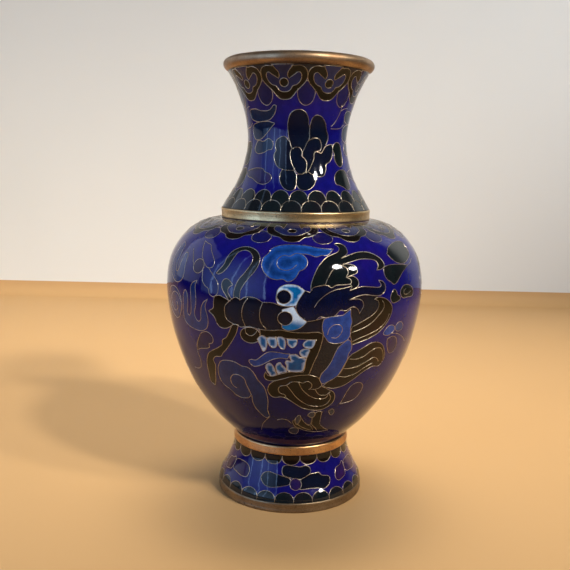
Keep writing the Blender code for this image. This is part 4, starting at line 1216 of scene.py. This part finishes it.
RINGS = {
    "lip_ring": ("lip_copper", [
        *rounded([
            (22.4, 151.45), (23.4, 151.5), (24.2, 151.4), (25.1, 150.9), (25.6, 150.1), (25.65, 149.4),
            (25.45, 148.7), (24.9, 148.05), (24.1, 147.55),
        ]),
        (22.95, 147.5), (22.95, 149.5), (21.75, 149.5), (21.75, 147.5), (20.95, 147.5),
        *rounded([(20.95, 149.6), (21.05, 150.4), (21.5, 151.05)]),
    ]),
    "neck_collar": ("satin_brass", [
        *rounded([(25.3, 101.7), (25.75, 101.62), (25.93, 101.3), (25.9, 100.7), (25.86, 100.0)]),
        *rounded([(25.86, 99.5), (25.92, 98.95), (25.93, 98.7), (25.8, 98.4), (25.66, 98.3)]),
        (25.6, 97.6), (24.75, 97.6), (24.75, 101.7),
    ]),
    "foot_collar": ("collar_copper", [
        *rounded([
            (20.0, 21.5), (20.3, 21.42), (20.5, 21.1), (20.6, 20.2), (20.7, 19.2), (20.72, 18.75),
            (20.6, 18.42), (20.3, 18.3),
        ]),
        (19.5, 18.3), (19.5, 21.5),
    ]),
    "foot_rim": ("rim_bronze", [
        *rounded([(25.5, 3.6), (25.95, 3.45), (26.1, 3.1), (26.1, 2.4)]),
        *rounded([(26.02, 1.4), (26.1, 0.6), (26.0, 0.18), (25.7, 0.0)]),
        (21.9, 0.0), (21.6, 0.25), (21.6, 1.0), (25.0, 1.0), (25.0, 3.6),
    ]),
}
# radius, top and bottom of the glass on the base plate's two faces
DISCS = {"base_enamel": (21.4, 1.0, 0.4), "base_lining": (23.9, 2.4, 2.0)}

neck = Surface("neck", NECK_KNOTS)
# the body's glass gets a painted shade below this height
body = Surface("body", BODY_KNOTS, UNDERSIDE_SHADE_FROM)
foot = Surface("foot", FOOT_KNOTS)

neck_picture(neck)
back_picture(body)
clouds(body)
dragon_head(body)
dragon_mouth(body)
shoulder_border(body)
foot_picture(foot)

enamel = glass_material()
cloison_brass = wire_material()
metals = {name: metal_material(name, *look) for name, look in METALS.items()}
counter_enamel = counter_enamel_material()

for surface in (neck, body, foot):
    runs = split_at_seam(surface, seen_runs(surface))
    glass = glass_mesh(surface, runs, PALETTE, f"{surface.name}_glass")
    glass.data.materials.append(enamel)
    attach(glass, "root")
    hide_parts(f"{surface.name}_enamel")
    wires = wire_mesh(surface, runs, f"{surface.name}_wires")
    wires.data.materials.append(cloison_brass)
    nodes = [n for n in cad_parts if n.endswith("_wire") and n.startswith(WIRE_NODES[surface.name])]
    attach(wires, "root")
    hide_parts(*nodes)
    lining = turned(f"{surface.name}_counter_enamel", lining_profile(surface), counter_enamel)
    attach(lining, "root")
    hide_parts(f"{surface.name}_lining")

for name, (metal, profile) in RINGS.items():
    ring = turned(name.replace("_", "_turned_", 1), profile, metals[metal])
    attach(ring, "root")
    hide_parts(name)

for name, (radius, top, bottom) in DISCS.items():
    profile = [
        (0.0, top), (radius - 0.15, top), (radius, top - 0.1), (radius, bottom + 0.1),
        (radius - 0.25, bottom), (0.0, bottom),
    ]
    plate = turned(name + "_disc", profile, counter_enamel)
    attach(plate, "root")
    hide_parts(name)

for name in ("neck_shell", "shoulder_shell", "belly_shell", "foot_shell", "base_plate"):
    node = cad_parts[name]
    node.data.materials.clear()
    node.data.materials.append(metals["sheet_copper"])


# ---------------------------------------------------------------- stage, light and camera; metres from here

VASE_MIDDLE = (0, 0, 0.08)
ROOM = 2.5                      # half the floor's width, and its reach to the front
WALL = 0.372                    # distance of the wall behind the vase's axis
WALL_TOP = 0.7
COVE = 0.012                    # radius where the floor turns up into the wall
CAMERA_PLACE = (0.0, -0.2607, 0.1168)
CAMERA_TURN = (9.30, -0.70, 1.19)     # degrees down, to the right and rolled to the left
CAMERA_LENS = 46.73             # on a sensor 36 mm wide
WARM = (1.0, 0.95, 0.88)
SKY = (0.38, 0.60, 1.0)
HAZE = (0.82, 0.88, 1.0)
BEHIND = (-0.03, 0.17, 0.10)    # what the ceiling lamps' beams are centred on, past the vase


def stage():
    """A pale floor with a paler wall behind it, joined by a small cove."""
    curve = np.linspace(0, math.pi / 2, 6)
    line = [(-ROOM, 0.0)]
    line += [(WALL - COVE + COVE * math.sin(t), COVE - COVE * math.cos(t)) for t in curve]
    line += [(WALL, WALL_TOP)]
    verts = [(x, y, z) for y, z in line for x in (-ROOM, ROOM)]
    faces = [(2 * i, 2 * i + 1, 2 * i + 3, 2 * i + 2) for i in range(len(line) - 1)]
    floor = plain_material("pale_floor", (0.55, 0.33, 0.14), 0.55)
    wall = plain_material("pale_wall", (0.72, 0.71, 0.655), 0.8)
    backdrop = add_piece("backdrop", verts, faces, floor, wall)
    backdrop.data.polygons[-1].material_index = 1


def lamp(
    name, azimuth, elevation, distance, size, power,
    colour=(1, 1, 1), spread=180, aim=VASE_MIDDLE, seen=True,
):
    """An area lamp in this direction from the vase's middle; size is (across, up).

    spread is its whole cone in degrees, aim the point that the cone is centred on, and seen whether it
    shows in reflections.
    """
    data = bpy.data.lights.new(name, "AREA")
    data.shape = "DISK" if size[0] == size[1] else "RECTANGLE"
    data.size, data.size_y = size
    data.energy = power
    data.color = colour
    data.spread = math.radians(spread)
    made = bpy.data.objects.new(name, data)
    bpy.context.scene.collection.objects.link(made)
    a, e = math.radians(azimuth), math.radians(elevation)
    way = Vector((math.sin(a) * math.cos(e), -math.cos(a) * math.cos(e), math.sin(e)))
    made.location = Vector(VASE_MIDDLE) + distance * way
    made.rotation_euler = (Vector(aim) - made.location).to_track_quat("-Z", "Y").to_euler()
    made.visible_camera = False
    made.visible_glossy = seen


def camera():
    """The camera: 12 cm above the floor and 26 cm in front of the axis, looking slightly down."""
    pitch, yaw, roll = (math.radians(x) for x in CAMERA_TURN)
    ahead = np.array([math.sin(yaw) * math.cos(pitch), math.cos(yaw) * math.cos(pitch), -math.sin(pitch)])
    level = np.array([math.cos(yaw), -math.sin(yaw), 0.0])
    above = np.cross(level, ahead)
    right = math.cos(roll) * level + math.sin(roll) * above
    up = -math.sin(roll) * level + math.cos(roll) * above
    data = bpy.data.cameras.new("camera")
    data.sensor_width = 36
    data.lens = CAMERA_LENS
    data.clip_start = 0.01
    made = bpy.data.objects.new("camera", data)
    bpy.context.scene.collection.objects.link(made)
    turn = Matrix(np.column_stack([right, up, -ahead]).tolist()).to_4x4()
    made.matrix_world = Matrix.Translation(CAMERA_PLACE) @ turn
    bpy.context.scene.camera = made


stage()
lamp("ceiling_lamp_left", 44, 38, 1.6, (0.17, 0.17), 0.52, WARM, spread=26, aim=BEHIND)
lamp("ceiling_lamp_right", 57.5, 31.5, 1.6, (0.14, 0.14), 0.38, WARM, spread=26, aim=BEHIND)
lamp("overhead_softbox", 178, 72, 1.3, (0.9, 0.7), 2.1, WARM, spread=48, aim=(0.0, 0.17, 0.02), seen=False)
lamp("rim_softbox", 132, 30, 1.1, (0.35, 0.3), 0.5, SKY, spread=60)
lamp("wall_wash_left", -61, 36, 0.88, (0.3, 0.3), 0.30, spread=60, aim=(-0.45, WALL, 0.30), seen=False)
lamp("wall_wash_right", 61, 36, 0.88, (0.3, 0.3), 1.1, spread=60, aim=(0.45, WALL, 0.38), seen=False)
lamp("left_haze", -112, 20, 0.62, (0.6, 0.5), 0.26, HAZE, spread=95)
lamp("window", -54, 28.8, 0.685, (0.74, 0.78), 0.9, SKY, spread=88, aim=(0, 0, 0.36))
for number, azimuth in enumerate((-24, -39, -53, -73)):
    lamp(f"window_gap_{number}", azimuth, 28.8, 0.66, (0.012, 0.74), 0.07, SKY, spread=120, aim=(0, 0, 0.34))

world = bpy.data.worlds.new("studio")
world.use_nodes = True
background = world.node_tree.nodes["Background"]
background.inputs["Color"].default_value = (0.85, 0.9, 1.0, 1)
background.inputs["Strength"].default_value = 0.07
bpy.context.scene.world = world
bpy.context.scene.view_settings.view_transform = "Standard"
camera()
